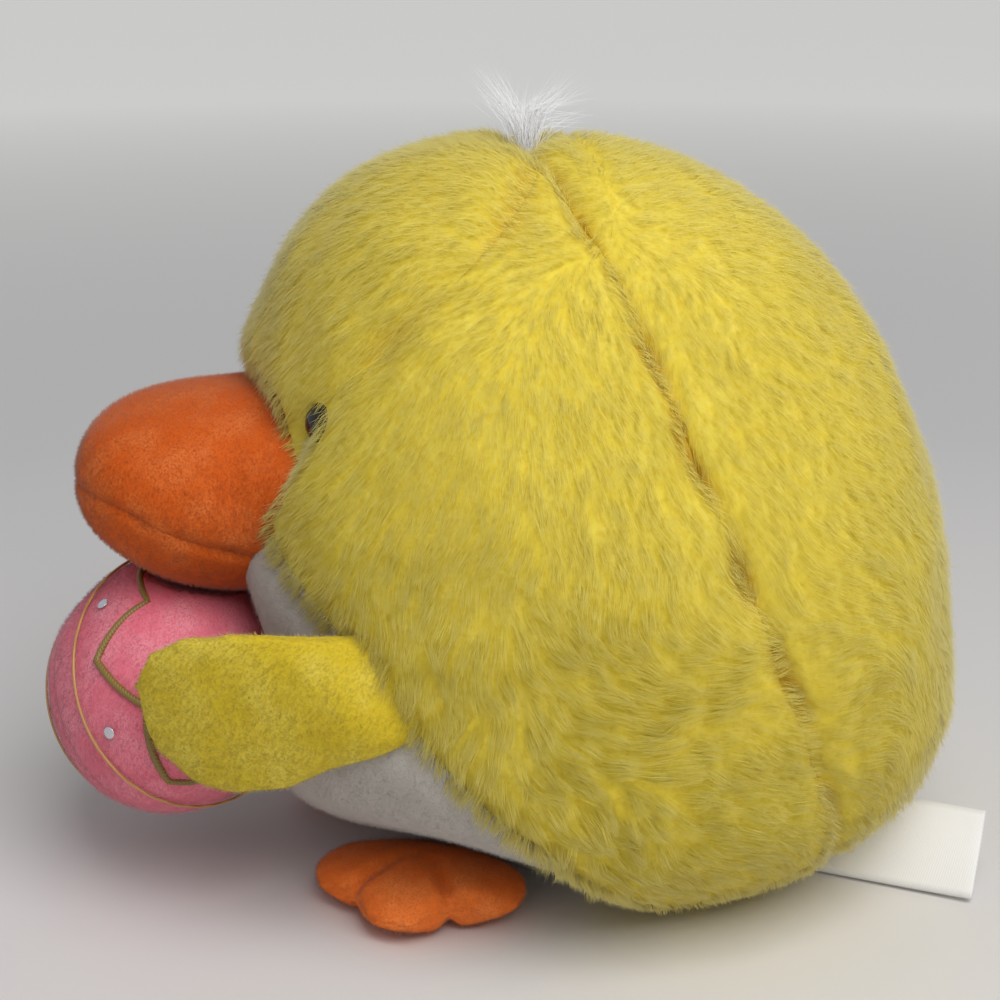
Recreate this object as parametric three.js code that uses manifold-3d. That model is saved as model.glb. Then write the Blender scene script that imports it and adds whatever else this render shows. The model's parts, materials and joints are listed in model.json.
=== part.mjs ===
// A plush chick that hugs an egg: sewn fabric covers over loose stuffing.
// Millimetres. +Z is up, the chick looks along -Y and its left wing is on the +X side.
// The origin is the middle of the flat base that it sits on.

import * as THREE from "three";
import { mergeVertices } from "three/addons/utils/BufferGeometryUtils.js";
import Module from "manifold-3d";

const wasm = await Module();
wasm.setup();

// Body: a leaning pear, widest low down, flattened where it sits
const BODY_HALF_WIDTH = 105;
const BODY_FRONT = 107.5; // from the middle of the widest section forward
const BODY_BACK = 111;
const BODY_WAIST_HEIGHT = 64; // the widest section above the floor
const BODY_CROWN = 155; // the widest section up to the crown
const BODY_BELOW = 70; // the widest section down to the round bottom, before it is flattened
const BODY_FULLNESS = 2.25; // 2 is an ellipsoid, more is squarer
const BODY_LEAN = 0.1; // forward travel for each millimetre of height
const BODY_FACETS_AROUND = 26;
const BODY_FACETS_DOWN = 16;
const SEAM_STATIONS = 36; // round each seam valley

// Fabrics, each with its backing
const FUR_THICKNESS = 10; // long pile
const VELBOA_THICKNESS = 3; // short pile of belly, base and egg
const LIMB_FABRIC = 2.5; // short pile of wings, feet and beak
const FUR_CRUSH = 0.4; // share of the fur's thickness that is left underneath
const BACKING = 2.5; // what is left of the fur where something is sewn on it
const SEAM_GAP = 0.3; // between sewn edges, and between a cover and its stuffing
const SEAM_VALLEY_DEPTH = 6.5; // how far a seam draws the fur in
const SEAM_VALLEY_HALF_WIDTH = 7.5;

// Seams of the body, each a plane across it, seen from the side
const BACK_SEAM_AHEAD = 4; // in front of the crown, where it starts
const BACK_SEAM_ANGLE = 21; // from the vertical, running down and back
const FOREHEAD_SEAM_DROP = 4; // below the crown, where it leaves the back seam
const FOREHEAD_SEAM_ANGLE = 41.5; // below the horizontal, running down and forward
const BELLY_SEAM_SETBACK = 49; // behind the front of the widest section
const BELLY_SEAM_ANGLE = 51; // below the horizontal, running down and back
const BASE_HALF_WIDTH = 40;
const BASE_HALF_LENGTH = 42;
const BASE_FACETS = 28;

// Beak: a broad bill, fuller above than below
const BEAK_HALF_WIDTH = 41;
const BEAK_HEIGHT = 120; // its widest line above the floor
const BEAK_RISE = 29.5;
const BEAK_FALL = 30.5;
const BEAK_REACH = 43; // in front of the fur
const BEAK_ROOT_DEPTH = 12; // its widest point behind the face of the fur
const BEAK_FULLNESS_ROUND = 2.4;
const BEAK_FULLNESS_ABOVE = 2.9;
const BEAK_FULLNESS_BELOW = 2.1;
const BEAK_SEAM_RISE = 4; // its side seam above the widest line, at the tip
const BEAK_SEAM_ANGLE = 17; // below the horizontal, running down and back
const BEAK_FACETS_AROUND = 20;
const BEAK_FACETS_DOWN = 12;

// Egg: lies across the chick, pressed into the belly under the beak
const EGG_RADIUS = 38.5;
const EGG_HALF_LENGTH = 47;
const EGG_SINK = 21; // how deep the belly takes it in
const EGG_UNDER_BEAK = 8; // how far its top rises past the lowest line of the beak, which dents it
const EGG_FACETS_AROUND = 20;
const EGG_FACETS_DOWN = 12;

// Wings: flat paddles from the flank to the ends of the egg
const WING_LENGTH = 75;
const WING_ROOT_HALF_WIDTH = 13;
const WING_TIP_RADIUS = 22;
const WING_HALF_THICKNESS = 5.5;
const WING_ROOT_HEIGHT = 87;
const WING_ROOT_SETBACK = 38.5; // behind the front of the widest section
const WING_TIP_DROP = 15; // its tip below its root
const WING_OUTLINE_POINTS = 20;

// Feet: three-toed pads, splayed out, partly under the belly
const FOOT_TOE_RADIUS = 15;
const FOOT_TOE_REACH = 20; // from the middle of the foot to the middle of a toe
const FOOT_TOE_SPREAD = 66; // between neighbouring toes
const FOOT_HEEL_RADIUS = 13;
const FOOT_HEEL_REACH = 4;
const FOOT_HALF_THICKNESS = 8;
const FOOT_SIDE = 36; // the middle of the foot from the middle of the chick
const FOOT_SETBACK = 53; // the middle of the foot behind the front of the widest section
const FOOT_TURN_OUT = 62; // from straight ahead
const FOOT_OUTLINE_POINTS = 28;
const FOOT_HEEL_PINCH = 0.55; // share of the thickness that is left at the heel
const FOOT_DENT_DEPTH = 14; // how far each foot presses the underside in
const FOOT_DENT_RADIUS = 41;
const FOOT_DENT_ASIDE = 22; // the middle of the dent from the middle of the foot, outwards
const FOOT_DENT_BACK = 6; // and backwards
const FOOT_DENT_FACETS_AROUND = 20;
const FOOT_DENT_FACETS_DOWN = 10;

const LIMB_RINGS = 3; // from the edge of a wing or foot to its middle

// Eyes: plastic domes with a shank, held by a washer behind the fabric
const EYE_RADIUS = 6;
const EYE_DOME = 4.5;
const EYE_SHANK_RADIUS = 2.4;
const EYE_SHANK_LENGTH = 13;
const EYE_SIDE = 46; // from the middle of the face
const EYE_HEIGHT = 149;
const EYE_WASHER_RADIUS = 7;
const EYE_WASHER_THICKNESS = 1.6;
const EYE_WELL_CLEARANCE = 1; // fur kept off the dome
const EYE_WELL_FLARE = 4; // how much wider the gap in the fur is at the top
const EYE_FACETS = 12;
const EYE_DOME_STEPS = 5;

// Tuft: long fibres out of the seam at the crown
const TUFT_LOCKS = 7;
const TUFT_LENGTH = 17; // above the fur
const TUFT_ROOT_RADIUS = 1.8;
const TUFT_TIP_RADIUS = 0.7;
const TUFT_LEAN = 32; // the outer locks from the middle one
const TUFT_LOCK_FACETS = 6;

// Label: a ribbon folded in two, caught under the left of the back near the floor
const LABEL_WIDTH = 27;
const LABEL_LENGTH = 31;
const LABEL_RIBBON = 0.5;
const LABEL_FOLD_GAP = 0.8; // between the two layers
const LABEL_HEIGHT = 11.5; // its middle above the floor
const LABEL_TURN = 33; // from straight back towards the left
const LABEL_SLANT = 40; // its width from the vertical
const LABEL_FOLD_STEPS = 6;

const FAR = 600; // larger than the toy, for cutting blocks
const WELD = 1e-4; // points closer than this are one point
const PROBE = 0.5; // step for measuring a slope
const SEARCH_STEPS = 50; // halvings in a search along a ray
const radians = THREE.MathUtils.degToRad;

const fabric = (color, roughness) => new THREE.MeshStandardMaterial({ color, roughness, metalness: 0 });
const YELLOW_FUR = fabric(0xecd64b, 0.95);
const WHITE_VELBOA = fabric(0xf0edea, 0.95);
const ORANGE_VELBOA = fabric(0xe0661f, 0.95);
const YELLOW_VELBOA = fabric(0xe3cf3f, 0.95);
const PINK_VELBOA = fabric(0xe87f9b, 0.95);
const WHITE_FIBRE = fabric(0xf4f2ef, 0.7);
const SATIN = fabric(0xf3f1ee, 0.45);
const STUFFING = fabric(0xf7f6f2, 1);
const BLACK_PLASTIC = fabric(0x0b0a0c, 0.12);
const CLEAR_PLASTIC = fabric(0xdcdcd8, 0.4);

// A closed geometry as a solid that can be joined and cut.
function solidOf(geometry) {
  const bare = new THREE.BufferGeometry();
  bare.setAttribute("position", geometry.getAttribute("position").clone());
  if (geometry.index) bare.setIndex(geometry.index.clone());
  const merged = mergeVertices(bare, WELD);
  const vertProperties = new Float32Array(merged.getAttribute("position").array);
  const triVerts = new Uint32Array(merged.index.array);
  return new wasm.Manifold(new wasm.Mesh({ numProp: 3, vertProperties, triVerts }));
}

// Collects points and triangles into a closed solid, turned the right way out.
function solidOfFaces(points, faces) {
  const geometry = new THREE.BufferGeometry();
  geometry.setAttribute("position", new THREE.Float32BufferAttribute(points.flatMap((p) => p.toArray()), 3));
  geometry.setIndex(faces.flat());
  const solid = solidOf(geometry);
  if (solid.volume() > 0) return solid;
  geometry.setIndex(faces.flatMap(([a, b, c]) => [a, c, b]));
  return solidOf(geometry);
}

// A solid as a named mesh.
function meshOf(name, solid, material) {
  const { vertProperties, triVerts } = solid.getMesh();
  const geometry = new THREE.BufferGeometry();
  geometry.setAttribute("position", new THREE.BufferAttribute(vertProperties, 3));
  geometry.setIndex(new THREE.BufferAttribute(triVerts, 1));
  geometry.computeVertexNormals();
  const mesh = new THREE.Mesh(geometry, material.clone());
  mesh.name = name;
  return mesh;
}

// A round solid: each direction from a unit ball is moved to the point that pointOf gives for it.
function roundSolid(pointOf, around, down) {
  const ball = new THREE.SphereGeometry(1, around, down).rotateX(Math.PI / 2);
  const position = ball.getAttribute("position");
  const direction = new THREE.Vector3();
  for (let i = 0; i < position.count; i += 1) {
    const point = pointOf(direction.fromBufferAttribute(position, i));
    position.setXYZ(i, point.x, point.y, point.z);
  }
  return solidOf(ball);
}

// The half of space on the far side of a plane, along its normal, as a large block.
function halfSpace(point, normal) {
  const block = new THREE.BoxGeometry(FAR, FAR, FAR).translate(0, 0, FAR / 2);
  const turn = new THREE.Quaternion().setFromUnitVectors(new THREE.Vector3(0, 0, 1), normal);
  return solidOf(block.applyQuaternion(turn).translate(point.x, point.y, point.z));
}

// A block of floor-to-ceiling space above a height.
const above = (height) => halfSpace(new THREE.Vector3(0, 0, height), new THREE.Vector3(0, 0, 1));

// The body's half axes, drawn in by an inset that counts less underneath.
function bodyAxes(inset) {
  return {
    side: BODY_HALF_WIDTH - inset,
    front: BODY_FRONT - inset,
    back: BODY_BACK - inset,
    up: BODY_CROWN - inset,
    down: BODY_BELOW - inset * FUR_CRUSH,
  };
}

// The sum that is 1 on the body's surface and less inside, for a point in the upright body's frame.
function fullnessSum(x, y, z, axes) {
  const lengthwise = y < 0 ? axes.front : axes.back;
  const upright = z < 0 ? axes.down : axes.up;
  return (
    Math.abs(x / axes.side) ** BODY_FULLNESS +
    Math.abs(y / lengthwise) ** BODY_FULLNESS +
    Math.abs(z / upright) ** BODY_FULLNESS
  );
}

// The point of the inset body in a direction from the middle of the widest section.
function bodyPoint(direction, inset) {
  const sum = fullnessSum(direction.x, direction.y, direction.z, bodyAxes(inset));
  const point = direction.clone().multiplyScalar(sum ** (-1 / BODY_FULLNESS));
  point.z += BODY_WAIST_HEIGHT;
  point.y -= BODY_LEAN * point.z;
  return point;
}

// Under 1 inside the inset body, over 1 outside.
function bodyLevel(point, inset) {
  const upright = point.y + BODY_LEAN * point.z;
  return fullnessSum(point.x, upright, point.z - BODY_WAIST_HEIGHT, bodyAxes(inset));
}

// The outward normal of the body near a point.
function bodyNormal(point) {
  const slope = (axis) => {
    const ahead = point.clone();
    const behind = point.clone();
    ahead[axis] += PROBE;
    behind[axis] -= PROBE;
    return bodyLevel(ahead, 0) - bodyLevel(behind, 0);
  };
  return new THREE.Vector3(slope("x"), slope("y"), slope("z")).normalize();
}

// Where a ray that starts inside the inset body leaves it.
function bodyExit(start, direction, inset) {
  let inside = 0;
  let outside = FAR;
  for (let i = 0; i < SEARCH_STEPS; i += 1) {
    const middle = (inside + outside) / 2;
    const level = bodyLevel(start.clone().addScaledVector(direction, middle), inset);
    if (level < 1) inside = middle;
    else outside = middle;
  }
  return start.clone().addScaledVector(direction, inside);
}

// The flat hollow that a foot presses into the underside, grown by a margin.
function footDent(side, margin) {
  const aside = side * (FOOT_SIDE + FOOT_DENT_ASIDE);
  const start = new THREE.Vector3(aside, WAIST_FRONT + FOOT_SETBACK + FOOT_DENT_BACK, BODY_WAIST_HEIGHT);
  const place = bodyExit(start, new THREE.Vector3(0, 0, -1), 0);
  const turn = new THREE.Quaternion().setFromUnitVectors(new THREE.Vector3(0, 0, 1), bodyNormal(place));
  const axes = new THREE.Vector3(FOOT_DENT_RADIUS, FOOT_DENT_RADIUS, FOOT_DENT_DEPTH).addScalar(margin);
  const pointOf = (d) => d.clone().multiply(axes).applyQuaternion(turn).add(place);
  return roundSolid(pointOf, FOOT_DENT_FACETS_AROUND, FOOT_DENT_FACETS_DOWN);
}

// The inset body as a solid, cut off flat at a floor height and dented by the feet.
function bodySolid(inset, floor) {
  const round = roundSolid((d) => bodyPoint(d, inset), BODY_FACETS_AROUND, BODY_FACETS_DOWN);
  const margin = inset > 0 ? inset * FUR_CRUSH : inset;
  return round.intersect(above(floor)).subtract(footDent(1, margin)).subtract(footDent(-1, margin));
}

// The front of the body at a height, on the middle line.
function bodyFrontAt(height) {
  const middle = new THREE.Vector3(0, -BODY_LEAN * height, height);
  return bodyExit(middle, new THREE.Vector3(0, -1, 0), 0).y;
}

const WAIST_FRONT = -BODY_FRONT - BODY_LEAN * BODY_WAIST_HEIGHT;
const CROWN = bodyPoint(new THREE.Vector3(0, 0, 1), 0);

// A seam plane seen from the side: a point on it, and its normal turned up or back.
function seamPlane(y, z, downAngle, forward) {
  const run = forward ? -1 : 1;
  const along = new THREE.Vector3(0, run * Math.cos(downAngle), -Math.sin(downAngle));
  const normal = new THREE.Vector3(0, -along.z, along.y).multiplyScalar(run);
  return { point: new THREE.Vector3(0, y, z), along, normal };
}

const BACK_SEAM = seamPlane(CROWN.y - BACK_SEAM_AHEAD, CROWN.z, radians(90 - BACK_SEAM_ANGLE), false);
const SEAM_FORK = BACK_SEAM.point
  .clone()
  .addScaledVector(BACK_SEAM.along, FOREHEAD_SEAM_DROP / Math.cos(radians(BACK_SEAM_ANGLE)));
const FOREHEAD_SEAM = seamPlane(SEAM_FORK.y, SEAM_FORK.z, radians(FOREHEAD_SEAM_ANGLE), true);
const BELLY_SEAM = seamPlane(
  WAIST_FRONT + BELLY_SEAM_SETBACK,
  BODY_WAIST_HEIGHT,
  radians(BELLY_SEAM_ANGLE),
  false,
);
const MIDDLE_SEAM = { point: new THREE.Vector3(0, 0, BODY_WAIST_HEIGHT), normal: new THREE.Vector3(1, 0, 0) };

// The two sides of a seam plane, each half a seam gap away from it.
function sidesOf(seam) {
  const shifted = (side) => seam.point.clone().addScaledVector(seam.normal, (side * SEAM_GAP) / 2);
  return {
    beyond: halfSpace(shifted(1), seam.normal),
    before: halfSpace(shifted(-1), seam.normal.clone().negate()),
  };
}

// A ring of V section along the line where a seam plane meets the fur.
function seamValley(seam) {
  const middle = new THREE.Vector3(0, -BODY_LEAN * BODY_WAIST_HEIGHT, BODY_WAIST_HEIGHT);
  middle.addScaledVector(seam.normal, seam.point.clone().sub(middle).dot(seam.normal));
  const start = new THREE.Vector3(seam.normal.y, -seam.normal.x, 0).normalize();
  const across = new THREE.Vector3().crossVectors(seam.normal, start);
  const points = [];
  const faces = [];
  for (let i = 0; i < SEAM_STATIONS; i += 1) {
    const turn = (2 * Math.PI * i) / SEAM_STATIONS;
    const outward = start.clone().multiplyScalar(Math.cos(turn)).addScaledVector(across, Math.sin(turn));
    const edge = bodyExit(middle, outward, 0);
    const bottom = edge.clone().addScaledVector(outward, -SEAM_VALLEY_DEPTH);
    const lip = edge.clone().addScaledVector(outward, SEAM_VALLEY_DEPTH);
    const left = lip.clone().addScaledVector(seam.normal, -2 * SEAM_VALLEY_HALF_WIDTH);
    const right = lip.clone().addScaledVector(seam.normal, 2 * SEAM_VALLEY_HALF_WIDTH);
    points.push(bottom, left, right);
    const next = (i + 1) % SEAM_STATIONS;
    for (let corner = 0; corner < 3; corner += 1) {
      const other = (corner + 1) % 3;
      faces.push([3 * i + corner, 3 * next + corner, 3 * next + other]);
      faces.push([3 * i + corner, 3 * next + other, 3 * i + other]);
    }
  }
  return solidOfFaces(points, faces);
}

// The base disc as an upright prism of the given height, grown sideways by a clearance.
function basePrism(height, clearance) {
  const disc = new THREE.CylinderGeometry(1, 1, height, BASE_FACETS).rotateX(Math.PI / 2);
  disc.scale(BASE_HALF_WIDTH + clearance, BASE_HALF_LENGTH + clearance, 1);
  return solidOf(disc.translate(0, 0, height / 2));
}

// A point of the beak's surface, drawn in by an inset, in the beak's own frame.
function beakPoint(direction, inset) {
  const side = BEAK_HALF_WIDTH - inset;
  const reach = BEAK_REACH + BEAK_ROOT_DEPTH - inset;
  const upright = (direction.z < 0 ? BEAK_FALL : BEAK_RISE) - inset;
  const upFullness = direction.z < 0 ? BEAK_FULLNESS_BELOW : BEAK_FULLNESS_ABOVE;
  const aside = Math.abs(direction.x / side) ** BEAK_FULLNESS_ROUND;
  const ahead = Math.abs(direction.y / reach) ** BEAK_FULLNESS_ROUND;
  const flat = (aside + ahead) ** (1 / BEAK_FULLNESS_ROUND);
  const sum = flat ** upFullness + Math.abs(direction.z / upright) ** upFullness;
  return direction.clone().multiplyScalar(sum ** (-1 / upFullness));
}

const BEAK_PLACE = new THREE.Vector3(0, bodyFrontAt(BEAK_HEIGHT) + BEAK_ROOT_DEPTH, BEAK_HEIGHT);

// The beak as a solid in the chick's frame.
function beakSolid(inset) {
  const pointOf = (d) => beakPoint(d, inset).add(BEAK_PLACE);
  return roundSolid(pointOf, BEAK_FACETS_AROUND, BEAK_FACETS_DOWN);
}

const EGG_HEIGHT = BEAK_HEIGHT - BEAK_FALL + EGG_UNDER_BEAK - EGG_RADIUS;
const EGG_PLACE = new THREE.Vector3(0, bodyFrontAt(EGG_HEIGHT) + EGG_SINK - EGG_RADIUS, EGG_HEIGHT);

// The egg as a solid in the chick's frame, before the belly and beak press into it.
function eggSolid(inset) {
  const axes = new THREE.Vector3(EGG_HALF_LENGTH - inset, EGG_RADIUS - inset, EGG_RADIUS - inset);
  const pointOf = (d) => d.clone().multiply(axes).add(EGG_PLACE);
  return roundSolid(pointOf, EGG_FACETS_AROUND, EGG_FACETS_DOWN);
}

// The paddle of a wing, its root edge on the Y axis and its tip along +X.
function wingOutline() {
  const shape = new THREE.Shape();
  const tipMiddle = WING_LENGTH - WING_TIP_RADIUS;
  shape.moveTo(0, -WING_ROOT_HALF_WIDTH);
  shape.quadraticCurveTo(tipMiddle / 2, -WING_TIP_RADIUS, tipMiddle, -WING_TIP_RADIUS);
  shape.absarc(tipMiddle, 0, WING_TIP_RADIUS, -Math.PI / 2, Math.PI / 2, false);
  shape.quadraticCurveTo(tipMiddle / 2, WING_TIP_RADIUS, 0, WING_ROOT_HALF_WIDTH);
  shape.lineTo(0, -WING_ROOT_HALF_WIDTH);
  return shape.getSpacedPoints(WING_OUTLINE_POINTS).slice(0, -1);
}

// The clover of a foot, its middle at the origin and its middle toe along +X.
function footOutline() {
  const toe = (turn) => ({ turn, reach: FOOT_TOE_REACH, radius: FOOT_TOE_RADIUS });
  const heel = { turn: Math.PI, reach: FOOT_HEEL_REACH, radius: FOOT_HEEL_RADIUS };
  const lobes = [heel, ...[-1, 0, 1].map((side) => toe(side * radians(FOOT_TOE_SPREAD)))];
  const points = [];
  for (let i = 0; i < FOOT_OUTLINE_POINTS; i += 1) {
    const turn = (2 * Math.PI * i) / FOOT_OUTLINE_POINTS;
    const reaches = lobes.map((lobe) => {
      const along = lobe.reach * Math.cos(turn - lobe.turn);
      const aside = lobe.reach * Math.sin(turn - lobe.turn);
      return along + Math.sqrt(Math.max(0, lobe.radius ** 2 - aside ** 2));
    });
    const radius = Math.max(...reaches);
    points.push(new THREE.Vector2(radius * Math.cos(turn), radius * Math.sin(turn)));
  }
  return points;
}

// The middle of an outline.
function middleOf(outline) {
  const sum = outline.reduce((total, point) => total.add(point), new THREE.Vector2());
  return sum.divideScalar(outline.length);
}

// One side of a stuffed pad: a dome over an outline, drawn in by an inset.
// It is listed ring by ring, from the sewn edge to the single point on top.
function domeRings(outline, pad, inset, side) {
  const middle = middleOf(outline);
  const rings = [];
  for (let ring = 0; ring < LIMB_RINGS; ring += 1) {
    const rise = (Math.PI / 2) * (ring / LIMB_RINGS);
    rings.push(
      outline.map((corner) => {
        const spoke = corner.clone().sub(middle);
        const length = spoke.length() - inset;
        const place = middle.clone().addScaledVector(spoke.normalize(), length * Math.cos(rise));
        const height = (pad.halfThickness - inset) * Math.sin(rise) * pad.share(place.x);
        return new THREE.Vector3(place.x, place.y, side * (SEAM_GAP / 2 + height));
      }),
    );
  }
  const crown = side * (SEAM_GAP / 2 + (pad.halfThickness - inset) * pad.share(middle.x));
  return { rings, top: new THREE.Vector3(middle.x, middle.y, crown) };
}

// The faces of a dome whose points start at first, and whose rings have count points each.
function domeFaces(first, count, flip) {
  const faces = [];
  const at = (ring, i) => first + ring * count + (i % count);
  const add = (a, b, c) => faces.push(flip ? [a, c, b] : [a, b, c]);
  for (let i = 0; i < count; i += 1) {
    for (let ring = 0; ring + 1 < LIMB_RINGS; ring += 1) {
      add(at(ring, i), at(ring, i + 1), at(ring + 1, i + 1));
      add(at(ring, i), at(ring + 1, i + 1), at(ring + 1, i));
    }
    add(at(LIMB_RINGS - 1, i), at(LIMB_RINGS - 1, i + 1), first + LIMB_RINGS * count);
  }
  return faces;
}

// Two domes that face the same or opposite ways, joined along their edges into one solid.
function joinedDomes(outer, inner) {
  const count = outer.rings[0].length;
  const points = [...outer.rings.flat(), outer.top, ...inner.rings.flat(), inner.top];
  const second = LIMB_RINGS * count + 1;
  const faces = [...domeFaces(0, count, false), ...domeFaces(second, count, true)];
  for (let i = 0; i < count; i += 1) {
    const next = (i + 1) % count;
    faces.push([i, second + next, next], [i, second + i, second + next]);
  }
  return solidOfFaces(points, faces);
}

// The three pieces of a stuffed pad: the cover on its +Z side, the cover on its -Z side, and the stuffing.
function padPieces(outline, pad) {
  const cover = (side) =>
    joinedDomes(domeRings(outline, pad, 0, side), domeRings(outline, pad, LIMB_FABRIC, side));
  const inside = LIMB_FABRIC + SEAM_GAP;
  const stuffing = joinedDomes(domeRings(outline, pad, inside, 1), domeRings(outline, pad, inside, -1));
  return { upper: cover(1), lower: cover(-1), stuffing };
}

// A group that stands at a point, with its X axis along one direction and its Z axis near another.
function groupAt(point, alongX, nearZ) {
  const x = alongX.clone().normalize();
  const y = new THREE.Vector3().crossVectors(nearZ, x).normalize();
  const z = new THREE.Vector3().crossVectors(x, y);
  const group = new THREE.Group();
  group.position.copy(point);
  group.quaternion.setFromRotationMatrix(new THREE.Matrix4().makeBasis(x, y, z));
  group.updateMatrix();
  return group;
}

// A solid of the chick's frame, brought into a group's own frame.
function intoGroup(solid, group) {
  const { vertProperties, triVerts } = solid.getMesh();
  const geometry = new THREE.BufferGeometry();
  geometry.setAttribute("position", new THREE.BufferAttribute(vertProperties, 3));
  geometry.setIndex(new THREE.BufferAttribute(triVerts, 1));
  return solidOf(geometry.applyMatrix4(group.matrix.clone().invert()));
}

// A group's own solid, brought into the chick's frame.
function outOfGroup(geometry, group) {
  return solidOf(geometry.clone().applyMatrix4(group.matrix));
}

// A group whose Y axis points out of the face through an eye. Its origin lies on the backing of the fur.
function eyeGroup(side) {
  const start = new THREE.Vector3(side * EYE_SIDE, -BODY_LEAN * EYE_HEIGHT, EYE_HEIGHT);
  const seat = bodyExit(start, new THREE.Vector3(0, -1, 0), FUR_THICKNESS - BACKING);
  const group = new THREE.Group();
  group.position.copy(seat);
  group.quaternion.setFromUnitVectors(new THREE.Vector3(0, 1, 0), bodyNormal(seat));
  group.updateMatrix();
  return group;
}

const SHANK_HOLE_RADIUS = EYE_SHANK_RADIUS + SEAM_GAP;

// A dome on a shank, turned about Y.
function eyeGeometry() {
  const profile = [
    [0, -EYE_SHANK_LENGTH],
    [EYE_SHANK_RADIUS, -EYE_SHANK_LENGTH],
    [EYE_SHANK_RADIUS, SEAM_GAP],
    [EYE_RADIUS, SEAM_GAP],
  ];
  for (let i = 1; i < EYE_DOME_STEPS; i += 1) {
    const turn = (Math.PI / 2) * (i / EYE_DOME_STEPS);
    profile.push([EYE_RADIUS * Math.cos(turn), SEAM_GAP + EYE_DOME * Math.sin(turn)]);
  }
  profile.push([0, SEAM_GAP + EYE_DOME]);
  return new THREE.LatheGeometry(profile.map(([radius, y]) => new THREE.Vector2(radius, y)), EYE_FACETS);
}

// A flat ring on the shank, against the back of the fabric.
function washerGeometry() {
  const front = -BACKING - SEAM_GAP;
  const back = front - EYE_WASHER_THICKNESS;
  const corners = [
    [SHANK_HOLE_RADIUS, back],
    [EYE_WASHER_RADIUS, back],
    [EYE_WASHER_RADIUS, front],
    [SHANK_HOLE_RADIUS, front],
    [SHANK_HOLE_RADIUS, back],
  ];
  return new THREE.LatheGeometry(corners.map(([radius, y]) => new THREE.Vector2(radius, y)), EYE_FACETS);
}

// The gap that the fur leaves over an eye, with the hole for its shank.
function eyeWell(group) {
  const narrow = EYE_RADIUS + EYE_WELL_CLEARANCE;
  const height = 2 * FUR_THICKNESS;
  const gap = new THREE.CylinderGeometry(narrow + 2 * EYE_WELL_FLARE, narrow, height, EYE_FACETS);
  const hole = new THREE.CylinderGeometry(SHANK_HOLE_RADIUS, SHANK_HOLE_RADIUS, height, EYE_FACETS);
  return outOfGroup(gap.translate(0, height / 2, 0), group).add(outOfGroup(hole, group));
}

// The room that a washer and a shank take behind the backing.
function washerRoom(group) {
  const deep = EYE_SHANK_LENGTH + SEAM_GAP;
  const radius = EYE_WASHER_RADIUS + SEAM_GAP;
  const thick = EYE_WASHER_THICKNESS + 2 * SEAM_GAP;
  const ring = new THREE.CylinderGeometry(radius, radius, thick, EYE_FACETS);
  ring.translate(0, -BACKING - thick / 2, 0);
  const shaft = new THREE.CylinderGeometry(SHANK_HOLE_RADIUS, SHANK_HOLE_RADIUS, 2 * deep, EYE_FACETS);
  return outOfGroup(ring, group).add(outOfGroup(shaft, group));
}

// The chick's pieces, sub-assembly by sub-assembly

const back = sidesOf(BACK_SEAM);
const forehead = sidesOf(FOREHEAD_SEAM);
const belly = sidesOf(BELLY_SEAM);
const middle = sidesOf(MIDDLE_SEAM);

const eyes = { left: eyeGroup(1), right: eyeGroup(-1) };

// What the beak, egg and feet press against: the body with all its fur.
const bodyOutside = bodySolid(-SEAM_GAP, 0);
// The face that the beak is sewn on: the backing of the fur.
const beakSeat = bodySolid(FUR_THICKNESS - BACKING, 0);
const beakOutside = beakSolid(-SEAM_GAP);
// The belly's side of its seam, and the seam itself.
const BELLY_SIDE = halfSpace(
  BELLY_SEAM.point.clone().addScaledVector(BELLY_SEAM.normal, SEAM_GAP),
  BELLY_SEAM.normal.clone().negate(),
);

// The seven covers of the body.
function bodyCovers() {
  const valleys = seamValley(BACK_SEAM)
    .add(seamValley(FOREHEAD_SEAM).intersect(back.before))
    .add(seamValley(MIDDLE_SEAM).intersect(back.beyond))
    .add(seamValley(BELLY_SEAM));
  const beakBed = beakOutside.subtract(beakSeat);
  const fur = bodySolid(0, 0)
    .subtract(valleys)
    .subtract(bodySolid(FUR_THICKNESS, VELBOA_THICKNESS))
    .subtract(basePrism(VELBOA_THICKNESS * 2, SEAM_GAP))
    .subtract(beakBed)
    .subtract(eyeWell(eyes.left))
    .subtract(eyeWell(eyes.right))
    .subtract(washerRoom(eyes.left))
    .subtract(washerRoom(eyes.right))
    .intersect(belly.beyond);
  const front = fur.intersect(back.before);
  const flank = front.intersect(forehead.before);
  const rear = fur.intersect(back.beyond);
  const bellyCover = bodySolid(0, 0)
    .subtract(bodySolid(VELBOA_THICKNESS, VELBOA_THICKNESS))
    .subtract(basePrism(VELBOA_THICKNESS * 2, SEAM_GAP))
    .intersect(belly.before);
  return [
    meshOf("forehead_panel", front.intersect(forehead.beyond), YELLOW_FUR),
    meshOf("left_side_panel", flank.intersect(middle.beyond), YELLOW_FUR),
    meshOf("right_side_panel", flank.intersect(middle.before), YELLOW_FUR),
    meshOf("left_back_panel", rear.intersect(middle.beyond), YELLOW_FUR),
    meshOf("right_back_panel", rear.intersect(middle.before), YELLOW_FUR),
    meshOf("belly_panel", bellyCover, WHITE_VELBOA),
    meshOf("base_panel", basePrism(VELBOA_THICKNESS, 0), WHITE_VELBOA),
  ];
}

// The stuffing of head and body, with room for the eyes' fixings.
function bodyStuffing() {
  const floor = VELBOA_THICKNESS + SEAM_GAP;
  const bulge = bodySolid(VELBOA_THICKNESS + SEAM_GAP, floor).intersect(belly.before);
  const solid = bodySolid(FUR_THICKNESS + SEAM_GAP, floor)
    .add(bulge)
    .subtract(washerRoom(eyes.left))
    .subtract(washerRoom(eyes.right));
  return meshOf("body_stuffing", solid, STUFFING);
}

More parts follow.
